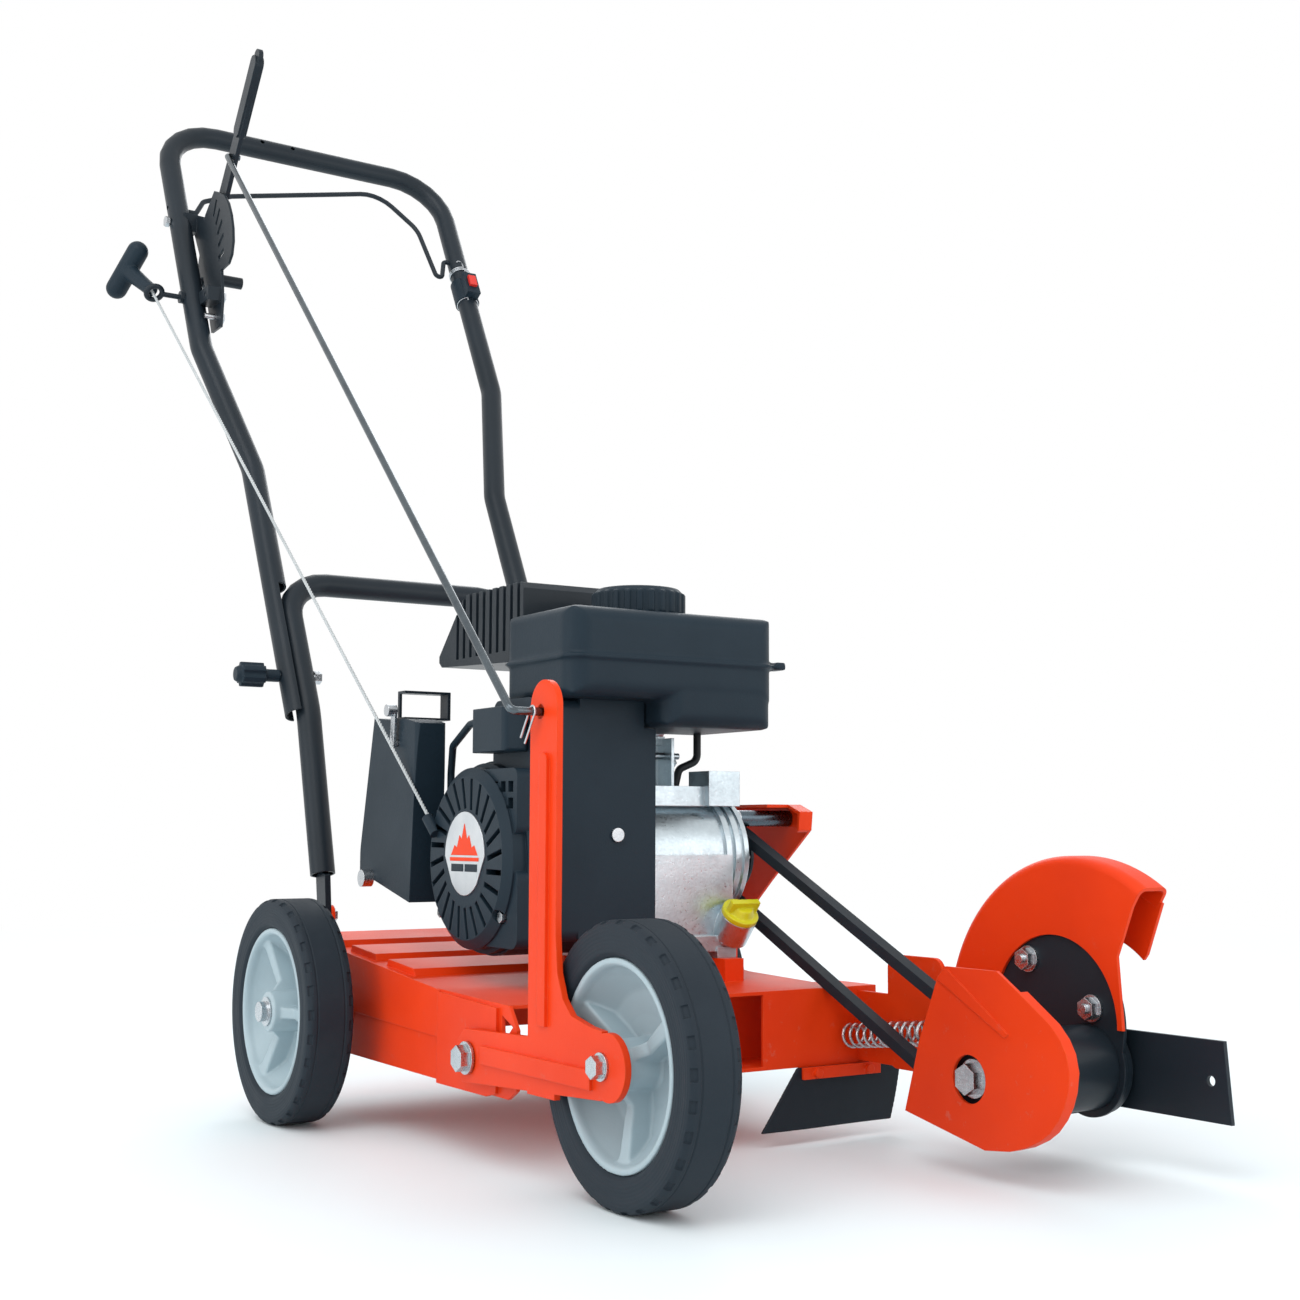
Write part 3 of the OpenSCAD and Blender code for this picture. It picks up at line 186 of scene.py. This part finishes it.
MAT = {
    "orange": coat_paint("orange_paint", (0.80, 0.048, 0.004), (0.70, 0.038, 0.004), 0.42, 1500.0, 0.00016,
                         (0.90, 0.15, 0.04), 0.03, dust=0.2, spec=0.16),
    "black_steel": coat_paint("black_steel_paint", (0.0135, 0.021, 0.029), (0.010, 0.016, 0.022), 0.38, 1700.0,
                              0.00014, (0.075, 0.10, 0.12), 0.04, spec=0.22),
    "black_plastic": coat_paint("black_moulded", (0.0125, 0.025, 0.037), (0.010, 0.020, 0.030), 0.46, 1100.0,
                                0.00022, (0.05, 0.07, 0.09), 0.0, 420.0, spec=0.17),
    "rim_plastic": coat_paint("rim_moulded", (0.375, 0.47, 0.51), (0.32, 0.405, 0.445), 0.42, 900.0, 0.00012,
                              (0.62, 0.70, 0.74), 0.05, 300.0, dust=0.2, dust_tint=(0.3, 0.31, 0.3)),
    "zinc": plated("zinc_plate", (0.60, 0.62, 0.64), (0.45, 0.48, 0.51), 0.28),
    "dark_steel": plated("blued_rod", (0.13, 0.155, 0.17), (0.085, 0.10, 0.115), 0.22, (1, 1, 0.05), 700.0,
                         0.00004),
    "alloy": plated("cast_alloy", (0.60, 0.68, 0.72), (0.47, 0.54, 0.58), 0.34, (1, 1, 1), 420.0, 0.0002),
    "badge": plated("badge_plate", (0.74, 0.77, 0.79), (0.64, 0.68, 0.71), 0.34, (1, 1, 14), 240.0),
    "belt_rubber": rubber("belt_rubber", (0.006, 0.011, 0.017), (0.011, 0.018, 0.026), 0.6, 1300.0),
    "flap_rubber": rubber("flap_rubber", (0.008, 0.014, 0.021), (0.014, 0.021, 0.029), 0.5),
    "hose": rubber("hose_rubber", (0.009, 0.012, 0.015), (0.015, 0.019, 0.022), 0.42),
    "rope": coat_paint("cord_fibre", (0.52, 0.55, 0.56), (0.42, 0.45, 0.46), 0.7, 2600.0, 0.0002,
                       (0.7, 0.7, 0.7), 0.0, 1500.0),
    "red_plastic": coat_paint("red_moulded", (0.70, 0.03, 0.02), (0.60, 0.02, 0.015), 0.35, 1200.0, 0.0001,
                              (0.85, 0.2, 0.15), 0.1),
    "yellow_plastic": coat_paint("yellow_moulded", (0.66, 0.62, 0.01), (0.56, 0.54, 0.01), 0.38, 1200.0,
                                 0.0001, (0.85, 0.84, 0.3), 0.1),
}
for tag in ("rear_right", "rear_left", "front"):
    axle_at = (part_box("tyre_" + tag)[0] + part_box("tyre_" + tag)[1]) / 2
    MAT["tyre_" + tag] = rubber("tyre_rubber_" + tag, (0.0115, 0.0195, 0.0285), (0.019, 0.028, 0.038),
                                rings=(axle_at.x, axle_at.z))
MAT["tyre"] = MAT["tyre_front"]


# ---------- mesh helpers ----------
def new_object(name, bm_or_mesh, slot=None, body=None, replaces=(), smooth=None):
    """A linked object with its material, body and replaced nodes; smooth is the sharp-edge angle in degrees."""
    mesh = bm_or_mesh
    if isinstance(bm_or_mesh, bmesh.types.BMesh):
        mesh = bpy.data.meshes.new(name)
        bm_or_mesh.to_mesh(mesh)
        bm_or_mesh.free()
    ob = bpy.data.objects.new(name, mesh)
    SCENE.collection.objects.link(ob)
    if slot:
        mesh.materials.clear()
        mesh.materials.append(MAT[slot])
    if smooth is not None:
        mesh.shade_smooth()
        if smooth < 180:
            mesh.set_sharp_from_angle(angle=math.radians(smooth))
    if body:
        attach(ob, body)
    if replaces:
        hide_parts(*replaces)
    return ob


def mid(node):
    lo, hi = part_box(node)
    return (lo + hi) / 2, hi - lo


def lathe(profile, centre, axis_y=1, n=96, degrees=None):
    """Closed ring of revolution round Y through centre; profile is a list of (radius, y)."""
    bm = bmesh.new()
    angles = [math.radians(a) for a in degrees or [360.0 * i / n for i in range(n)]]
    rows = []
    for a in angles:
        x, z = math.cos(a), math.sin(a)
        rows.append([bm.verts.new((centre.x + r * x, centre.y + axis_y * y, centre.z + r * z))
                     for r, y in profile])
    m = len(profile)
    for row, after in zip(rows, rows[1:] + rows[:1]):
        for j in range(m):
            k = (j + 1) % m
            bm.faces.new((row[j], after[j], after[k], row[k]))
    bmesh.ops.recalc_face_normals(bm, faces=bm.faces)
    return bm


def arc(cx, cy, r, a0, a1, n):
    turns = [math.radians(a0 + (a1 - a0) * i / n) for i in range(n + 1)]
    return [(cx + r * math.cos(a), cy + r * math.sin(a)) for a in turns]


def ring_of(bm, p, u, v, r, sides):
    """Vertices of a circle of radius r round p in the plane of u and v."""
    turns = [2 * math.pi * k / sides for k in range(sides)]
    return [bm.verts.new(p + (u * math.cos(a) + v * math.sin(a)) * r) for a in turns]


def tube_wall(bm, a, b):
    """Faces between two rings of the same count."""
    n = len(a)
    for k in range(n):
        bm.faces.new((a[k], a[(k + 1) % n], b[(k + 1) % n], b[k]))


def evaluated(ob):
    dg = bpy.context.evaluated_depsgraph_get()
    return bpy.data.meshes.new_from_object(ob.evaluated_get(dg))


def softened(name, bm, voxel, smooth, keep):
    """The mesh voxel-remeshed, relaxed and thinned out, so that every edge gets a real fillet."""
    tmp = new_object(name + "_tmp", bm)
    remesh = tmp.modifiers.new("remesh", "REMESH")
    remesh.mode, remesh.voxel_size = "VOXEL", voxel
    relax = tmp.modifiers.new("relax", "SMOOTH")
    relax.factor, relax.iterations = 0.5, smooth
    tmp.modifiers.new("thin", "DECIMATE").ratio = keep
    mesh = evaluated(tmp)
    bpy.data.objects.remove(tmp)
    return mesh


def moulded(name, node, slot, voxel, smooth, keep):
    """A moulded copy of one CAD node, with real fillets, that replaces it."""
    bm = bmesh.new()
    bm.from_mesh(NODES[node].data)
    bmesh.ops.remove_doubles(bm, verts=bm.verts, dist=1e-6)
    bmesh.ops.recalc_face_normals(bm, faces=bm.faces)
    mesh = softened(name, bm, voxel, smooth, keep)
    return new_object(name, mesh, slot, BODY_OF[node], (node,), 180)


# ---------- carried-over CAD nodes: material and smooth shading ----------
def smooth_group():
    g = bpy.data.node_groups.new("smooth_by_angle", "GeometryNodeTree")
    g.interface.new_socket("Geometry", in_out="INPUT", socket_type="NodeSocketGeometry")
    g.interface.new_socket("Geometry", in_out="OUTPUT", socket_type="NodeSocketGeometry")
    gi, go = g.nodes.new("NodeGroupInput"), g.nodes.new("NodeGroupOutput")
    weld = g.nodes.new("GeometryNodeMergeByDistance")
    weld.inputs["Distance"].default_value = 2e-6
    ang = g.nodes.new("GeometryNodeInputMeshEdgeAngle")
    cmp = g.nodes.new("FunctionNodeCompare")
    cmp.operation = "LESS_THAN"
    cmp.inputs[1].default_value = math.radians(SHARP_EDGE)
    allf = g.nodes.new("GeometryNodeSetShadeSmooth")
    allf.domain = "FACE"
    edges = g.nodes.new("GeometryNodeSetShadeSmooth")
    edges.domain = "EDGE"
    g.links.new(gi.outputs[0], weld.inputs[0])
    g.links.new(weld.outputs[0], allf.inputs[0])
    g.links.new(allf.outputs[0], edges.inputs[0])
    g.links.new(ang.outputs["Unsigned Angle"], cmp.inputs[0])
    g.links.new(cmp.outputs[0], edges.inputs["Shade Smooth"])
    g.links.new(edges.outputs[0], go.inputs[0])
    return g


SMOOTH = smooth_group()
SLOT_OF = {s.get("node") or s.get("name"): s["material_slot"] for s in RECORD["subparts"]}
for cad_name, cad_ob in NODES.items():
    cad_ob.data.materials.clear()
    cad_ob.data.materials.append(MAT[SLOT_OF[cad_name]])
    if cad_name == "control_rod":
        cad_ob.data.materials[0] = MAT["dark_steel"]
    gn = cad_ob.modifiers.new("smooth_by_angle", "NODES")
    gn.node_group = SMOOTH


def blacken_beyond(mat, beyond_y, color):
    """One long piece of a bolt set is blackened steel: darken all that lies past a plane across Y."""
    nt = mat.node_tree
    shader = next(n for n in nt.nodes if n.type == "BSDF_PRINCIPLED")
    at = add(nt, "ShaderNodeSeparateXYZ", {0: add(nt, "ShaderNodeTexCoord").outputs["Object"]})
    mask = math_node(nt, "GREATER_THAN", at.outputs["Y"], beyond_y)
    bare = shader.inputs["Base Color"].links[0].from_socket
    nt.links.new(mixed(nt, mask, bare, color), shader.inputs["Base Color"])


bolt_metal = plated("bolt_set_metal", (0.60, 0.62, 0.64), (0.45, 0.48, 0.51), 0.28)
STANDOFF_BARE = 0.0585
blacken_beyond(bolt_metal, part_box("engine_bolts")[1].y - STANDOFF_BARE, (0.10, 0.13, 0.155))
NODES["engine_bolts"].data.materials[0] = bolt_metal


# ---------- wheels ----------
SHOULDER = 0.0055
NOTCHES = 30
NOTCH_DEPTH = 0.0011
# degrees from a notch's start, and whether the tread is cut back there
NOTCH_STEPS = ((0.0, 0), (0.25, 1), (2.2, 1), (4.9, 1), (5.15, 0))
RIB_TURNS = {"front": (30, 150, 270), "rear_right": (118, -2, 238), "rear_left": (90, 210, 330)}
WHEELS = {"rear_right": RIGHT, "rear_left": AWAY, "front": RIGHT}


def wheel(tag, side):
    c, size = mid("tyre_" + tag)
    body = BODY_OF["tyre_" + tag]
    out, half = size.z / 2, size.y / 2
    seat = mid("rim_" + tag)[1].z / 2
    prof = [(seat + 0.0002, -half + 0.004), (seat + 0.0035, -half + 0.001)]
    prof += [(seat + 0.0045 + 0.004 * k, -half + (0.0002 if k % 2 else 0.0009)) for k in range(4)]
    prof += arc(out - SHOULDER, -half + SHOULDER, SHOULDER, 270, 360, 6)[1:]
    groove = ((0.0, 0.0082), (0.0005, 0.0087), (0.0005, 0.0095), (0.0, 0.0100), (0.0, 0.016))
    prof += [(out - deep, -half + y) for deep, y in groove]
    prof += [(r, -y) for r, y in reversed(prof)]
    prof += [(seat + 0.0002, half - 0.012), (seat + 0.0002, -half + 0.012)]
    # oblong notches in both shoulders, the far side half a pitch on; the steps of the ring follow them
    pitch = 360.0 / NOTCHES
    turns = []
    for k in range(NOTCHES):
        for sign in (-1, 1):
            a = pitch * (k + (0.0 if sign < 0 else 0.5))
            turns += [(a + step, low, sign) for step, low in NOTCH_STEPS]
    bm = lathe(prof, c, 1, len(turns), [t[0] for t in turns])
    bm.verts.ensure_lookup_table()
    m = len(prof)
    for i, (a, low, sign) in enumerate(turns):
        if not low:
            continue
        for j, (r, y) in enumerate(prof):
            if out - 0.0032 < r and half - 0.0052 < sign * y < half - 0.0008:
                v = bm.verts[i * m + j]
                d = Vector((v.co.x - c.x, 0, v.co.z - c.z)).normalized()
                v.co -= (d + Vector((0, sign, 0))) * NOTCH_DEPTH
    tread = new_object("tyre_tread_" + tag, bm, "tyre", body, ("tyre_" + tag,), 35)
    tread.data.materials[0] = MAT["tyre_" + tag]

    # dished rim: lip, curved bowl, flat web, hub and three ribs with root fillets
    rc, rs = mid("rim_" + tag)
    rr, hub_h = rs.z / 2, rs.y / 2
    lipw = hub_h - 0.003
    bore = mid("axle_rear")[1].z / 2
    outer = [(rr, -lipw), (rr - 0.0035, -lipw - 0.0006), (rr - 0.005, -lipw + 0.0006)]
    outer += [(rr - 0.0062 - 0.017 * t ** 1.7, -lipw + 0.003 + 0.022 * t)
              for t in (0.0, 0.2, 0.4, 0.6, 0.8, 1.0)]
    outer += [(0.034, -lipw + 0.0275), (0.0205, -lipw + 0.0275), (0.0190, -lipw + 0.026),
              (0.0182, -hub_h + 0.0015), (0.0170, -hub_h),
              (bore + 0.0025, -hub_h), (bore + 0.0008, -hub_h + 0.001)]
    inner = [(bore + 0.0008, hub_h), (0.0175, hub_h), (0.0190, -lipw + 0.0315), (rr - 0.012, -lipw + 0.0305),
             (rr - 0.0055, lipw - 0.004), (rr, lipw)]
    bm = lathe(outer + inner, rc, -side, 128)
    foot = -lipw + 0.029
    # along a rib: radius, half width, height of its top
    stations = ((0.0165, 0.0050, -hub_h + 0.005), (0.028, 0.0050, -lipw + 0.0120),
                (0.042, 0.0056, -lipw + 0.0100),
                (rr - 0.013, 0.0066, -lipw + 0.0075), (rr - 0.0045, 0.0085, -lipw + 0.0055))
    for a in RIB_TURNS[tag]:
        ca, sa = math.cos(math.radians(a)), math.sin(math.radians(a))
        rows = []
        for r, w, top in stations:
            section = ((-w - 0.0012, foot), (-w, top + 0.001), (-w + 0.001, top),
                       (w - 0.001, top), (w, top + 0.001), (w + 0.0012, foot))
            rows.append([bm.verts.new((rc.x + r * ca - u * sa, rc.y - side * y, rc.z + r * sa + u * ca))
                         for u, y in section])
        for p, q in zip(rows, rows[1:]):
            tube_wall(bm, p, q)
        bm.faces.new(rows[0])
        bm.faces.new(list(reversed(rows[-1])))
    bmesh.ops.recalc_face_normals(bm, faces=bm.faces)
    mesh = softened("rim_" + tag, bm, 0.0011, 3, 0.45)
    new_object("rim_moulded_" + tag, mesh, "rim_plastic", body, ("rim_" + tag,), 180)


for wheel_tag, wheel_side in WHEELS.items():
    wheel(wheel_tag, wheel_side)


# ---------- starter cord: three twisted strands, straight and held at both ends ----------
CORD_R = 0.00175


def twisted_cord():
    lo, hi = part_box("starter_rope")
    p0, p1 = Vector((lo.x, lo.y, hi.z)), Vector((hi.x, hi.y, lo.z))
    d = (p1 - p0).normalized()
    r = CORD_R
    p0, p1 = p0 + d * r * 0.5, p1 - d * r * 0.5
    up = Vector((0, 0, 1))
    u = d.cross(up).normalized()
    v = d.cross(u).normalized()
    length = (p1 - p0).length
    bm = bmesh.new()
    steps, sides, pitch, sr = 560, 6, 0.011, 0.00092
    for s in range(3):
        prev = None
        for i in range(steps + 1):
            t = i / steps
            a = 2 * math.pi * (t * length / pitch + s / 3)
            centre = p0 + d * (t * length) + (u * math.cos(a) + v * math.sin(a)) * (r - sr)
            ring = ring_of(bm, centre, u, v, sr, sides)
            if prev:
                tube_wall(bm, prev, ring)
            else:
                bm.faces.new(ring)
            prev = ring
        bm.faces.new(list(reversed(prev)))
    bmesh.ops.recalc_face_normals(bm, faces=bm.faces)
    return new_object("starter_cord_twisted", bm, "rope", BODY_OF["starter_rope"], ("starter_rope",), 180)


twisted_cord()


# ---------- moulded parts with real fillets ----------
moulded("grip_moulded", "starter_grip", "black_plastic", 0.0009, 6, 0.5)
moulded("tank_moulded", "fuel_tank", "black_plastic", 0.0016, 5, 0.4)
moulded("tank_cap_moulded", "fuel_cap", "black_plastic", 0.0009, 2, 0.4)
moulded("knob_moulded_right", "clamp_knob_right", "black_plastic", 0.0006, 4, 0.5)
moulded("knob_moulded_left", "clamp_knob_left", "black_plastic", 0.0006, 4, 0.5)
moulded("oil_cap_moulded", "oil_cap", "yellow_plastic", 0.0006, 3, 0.5)


# ---------- badge face: plain device, bar and two plain panels ----------
def badge_face():
    lo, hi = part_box("recoil_badge")
    cx, cz = (lo.x + hi.x) / 2, (lo.z + hi.z) / 2
    w, h, y = hi.x - lo.x, hi.z - lo.z, lo.y

    def plate(name, pts, slot, lift):
        bm = bmesh.new()
        a = [bm.verts.new((cx + px, y + 0.0002, cz + pz)) for px, pz in pts]
        b = [bm.verts.new((cx + px * 0.985, y - lift, cz + pz * 0.985)) for px, pz in pts]
        bm.faces.new(b)
        n = len(pts)
        for i in range(n):
            bm.faces.new((a[i], a[(i + 1) % n], b[(i + 1) % n], b[i]))
        bmesh.ops.recalc_face_normals(bm, faces=bm.faces)
        return new_object(name, bm, slot, BODY_OF["recoil_badge"], (), 30)

    half_peaks = ((1, -0.02), (0.74, 0.10), (0.55, 0.07), (0.36, 0.22), (0.2, 0.17))
    peaks = ((-1, -0.02), *half_peaks, (0.0, 0.36), *[(-u, v) for u, v in reversed(half_peaks[1:])])
    plate("badge_device", [(w * 0.34 * u, h * v) for u, v in peaks], "orange", 0.0004)
    bar = ((-0.36, -0.09), (0.36, -0.09), (0.37, -0.045), (-0.37, -0.045))
    plate("badge_bar", [(w * u, h * v) for u, v in bar], "orange", 0.0004)
    for i, (x0, x1) in enumerate(((-0.33, -0.02), (0.02, 0.33))):
        panel = ((x0, -0.215), (x1, -0.215), (x1, -0.125), (x0, -0.125))
        plate("badge_panel_%d" % i, [(w * u, h * v) for u, v in panel], "black_plastic", 0.0003)


badge_face()


# ---------- rubber flap: a bowed, slightly curled sheet of rubber ----------
def rubber_flap():
    lo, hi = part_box("debris_flap")
    bm = bmesh.new()
    bm.from_mesh(NODES["debris_flap"].data)
    bmesh.ops.remove_doubles(bm, verts=bm.verts, dist=1e-6)
    mesh = softened("flap", bm, 0.0009, 4, 0.4)
    hgt = hi.z - lo.z
    for v in mesh.vertices:
        t = max(0.0, (hi.z - 0.012 - v.co.z) / hgt)
        u = (v.co.y - lo.y) / (hi.y - lo.y)
        v.co.x += 0.0035 * t * t * math.sin(math.pi * (u * 1.6 + 0.2)) - 0.002 * t * t
    new_object("debris_flap_rubber", mesh, "flap_rubber", BODY_OF["debris_flap"], ("debris_flap",), 180)


rubber_flap()


# ---------- bent wire: bail spring with its hook, and the lead clip under the stop switch ----------
def wire(bm, points, r, sides=8):
    """Round wire along a smooth run of points, closed at both ends."""
    pts = [Vector(p) for p in points]
    side = (pts[1] - pts[0]).orthogonal().normalized()
    prev = None
    for i, p in enumerate(pts):
        d = (pts[min(i + 1, len(pts) - 1)] - pts[max(i - 1, 0)]).normalized()
        side = (side - d * side.dot(d)).normalized()
        up = d.cross(side)
        ring = ring_of(bm, p, side, up, r, sides)
        if prev:
            tube_wall(bm, prev, ring)
        else:
            bm.faces.new(list(reversed(ring)))
        prev = ring
    bm.faces.new(prev)


def tube_frame(node):
    """Centre of a node of rings round a tube, and the tube's direction: the node's thinnest direction."""
    co = np.array([v.co for v in NODES[node].data.vertices])
    axis = Vector(np.linalg.eigh(np.cov((co - co.mean(axis=0)).T))[1][:, 0])
    return mid(node)[0], axis if axis.z > 0 else -axis


def bail_wires():
    centre, axis = tube_frame("bail_spring")
    across = Vector((0, 1, 0))
    face = axis.cross(across).normalized()
    tube_r = mid("bail_spring")[1].y / 2 - 0.0014
    gauge, bend_r = 0.0008, 0.0035

    def round_tube(at, deg, r=tube_r):
        return at + (across * math.cos(math.radians(deg)) + face * math.sin(math.radians(deg))) * r

    turns, rise = 3.0, 0.0021
    coil = [round_tube(centre + axis * (rise * (t / 360.0 - turns / 2)), t - 90)
            for t in range(0, int(360 * turns) + 1, 12)]
    hook = [coil[-1] + axis * 0.002 * k + face * 0.0004 * k for k in range(1, 5)]
    hook += [hook[-1] + axis * (bend_r * math.sin(a * 0.5)) - across * (bend_r * (1 - math.cos(a * 0.5)))
             for a in range(1, 7)]
    bm = bmesh.new()
    wire(bm, coil + hook, gauge)
    bmesh.ops.recalc_face_normals(bm, faces=bm.faces)
    new_object("bail_spring_wire", bm, "zinc", BODY_OF["bail_spring"], ("bail_spring",), 180)

    below = axis * ((mid("stop_switch")[0] - centre).dot(axis))
    past = centre + below + axis * math.copysign(0.0185, below.dot(axis))
    clip = [round_tube(past + axis * 0.00004 * t / 6, t) for t in range(-60, 251, 10)]
    clip += [clip[-1] - axis * 0.0012 * k + face * 0.0006 * k for k in range(1, 7)]
    bm = bmesh.new()
    wire(bm, clip, gauge)
    bmesh.ops.recalc_face_normals(bm, faces=bm.faces)
    new_object("lead_clip_wire", bm, "zinc", BODY_OF["stop_switch"], (), 180)


bail_wires()


# ---------- stage, light, camera ----------
def soft_light(name, where, target, size, power, tint=(1, 1, 1)):
    data = bpy.data.lights.new(name, "AREA")
    data.shape, data.size, data.energy, data.color = "SQUARE", size, power, tint
    ob = bpy.data.objects.new(name, data)
    SCENE.collection.objects.link(ob)
    ob.location = where
    ob.rotation_euler = (Vector(target) - Vector(where)).to_track_quat("-Z", "Y").to_euler()
    return ob


def stage_floor():
    bm = bmesh.new()
    bmesh.ops.create_grid(bm, x_segments=8, y_segments=8, size=40)
    ob = new_object("studio_floor", bm)
    mat = bpy.data.materials.new("studio_floor")
    nt = tree(mat)
    co = add(nt, "ShaderNodeTexCoord").outputs["Object"]
    color = mixed(nt, ramp(nt, noise_at(nt, co, 0.8, 2.0), 0.3, 0.7), (0.80, 0.885, 0.92), (0.82, 0.90, 0.93))
    grain = noise_at(nt, co, 60.0, 2.0)
    bump = add(nt, "ShaderNodeBump", {"Strength": 0.03, "Distance": 0.001, "Height": grain})
    out = finish_mat(nt, color, 0.6, bump.outputs[0], spec=0.3)
    # the floor brightens into the white backdrop away from the machine
    lit = add(nt, "ShaderNodeEmission", {"Color": (1, 1, 1, 1), "Strength": 1.0})
    dist = add(nt, "ShaderNodeVectorMath", {0: co}, operation="LENGTH").outputs["Value"]
    near = out.inputs["Surface"].links[0].from_socket
    fade = add(nt, "ShaderNodeMixShader", {0: ramp(nt, dist, 1.3, 3.6), 1: near, 2: lit.outputs[0]})
    nt.links.new(fade.outputs[0], out.inputs["Surface"])
    ob.data.materials.append(mat)


stage_floor()
world = bpy.data.worlds.new("studio")
world.use_nodes = True
world.node_tree.nodes["Background"].inputs["Color"].default_value = (1.0, 1.0, 1.0, 1)
world.node_tree.nodes["Background"].inputs["Strength"].default_value = 1.0
SCENE.world = world
soft_light("key", (1.6, -1.9, 3.0), (0.0, 0.0, 0.4), 2.2, 40)
soft_light("side_fill", (0.1, -2.9, 0.9), (0.0, 0.0, 0.3), 1.8, 15)
soft_light("rim_light", (-2.4, 1.6, 2.4), (0.0, 0.0, 0.4), 1.8, 24, (0.93, 0.97, 1.0))
soft_light("low_fill", (2.6, 1.4, 1.0), (0.1, 0.0, 0.3), 1.6, 9)

cam_data = bpy.data.cameras.new("photo_camera")
cam = bpy.data.objects.new("photo_camera", cam_data)
SCENE.collection.objects.link(cam)
YAW, PITCH = math.radians(145.9211), math.radians(4.9015)
cam.location = (1.53438, -0.81388, 0.2661)
cam.rotation_euler = (math.pi / 2 + PITCH, 0, YAW - math.pi / 2)
cam_data.sensor_width, cam_data.lens = 36.0, 49.008
cam_data.shift_x, cam_data.shift_y = -0.05535, 0.02183
cam_data.clip_start, cam_data.clip_end = 0.01, 60.0
SCENE.camera = cam
SCENE.view_settings.view_transform = "Standard"
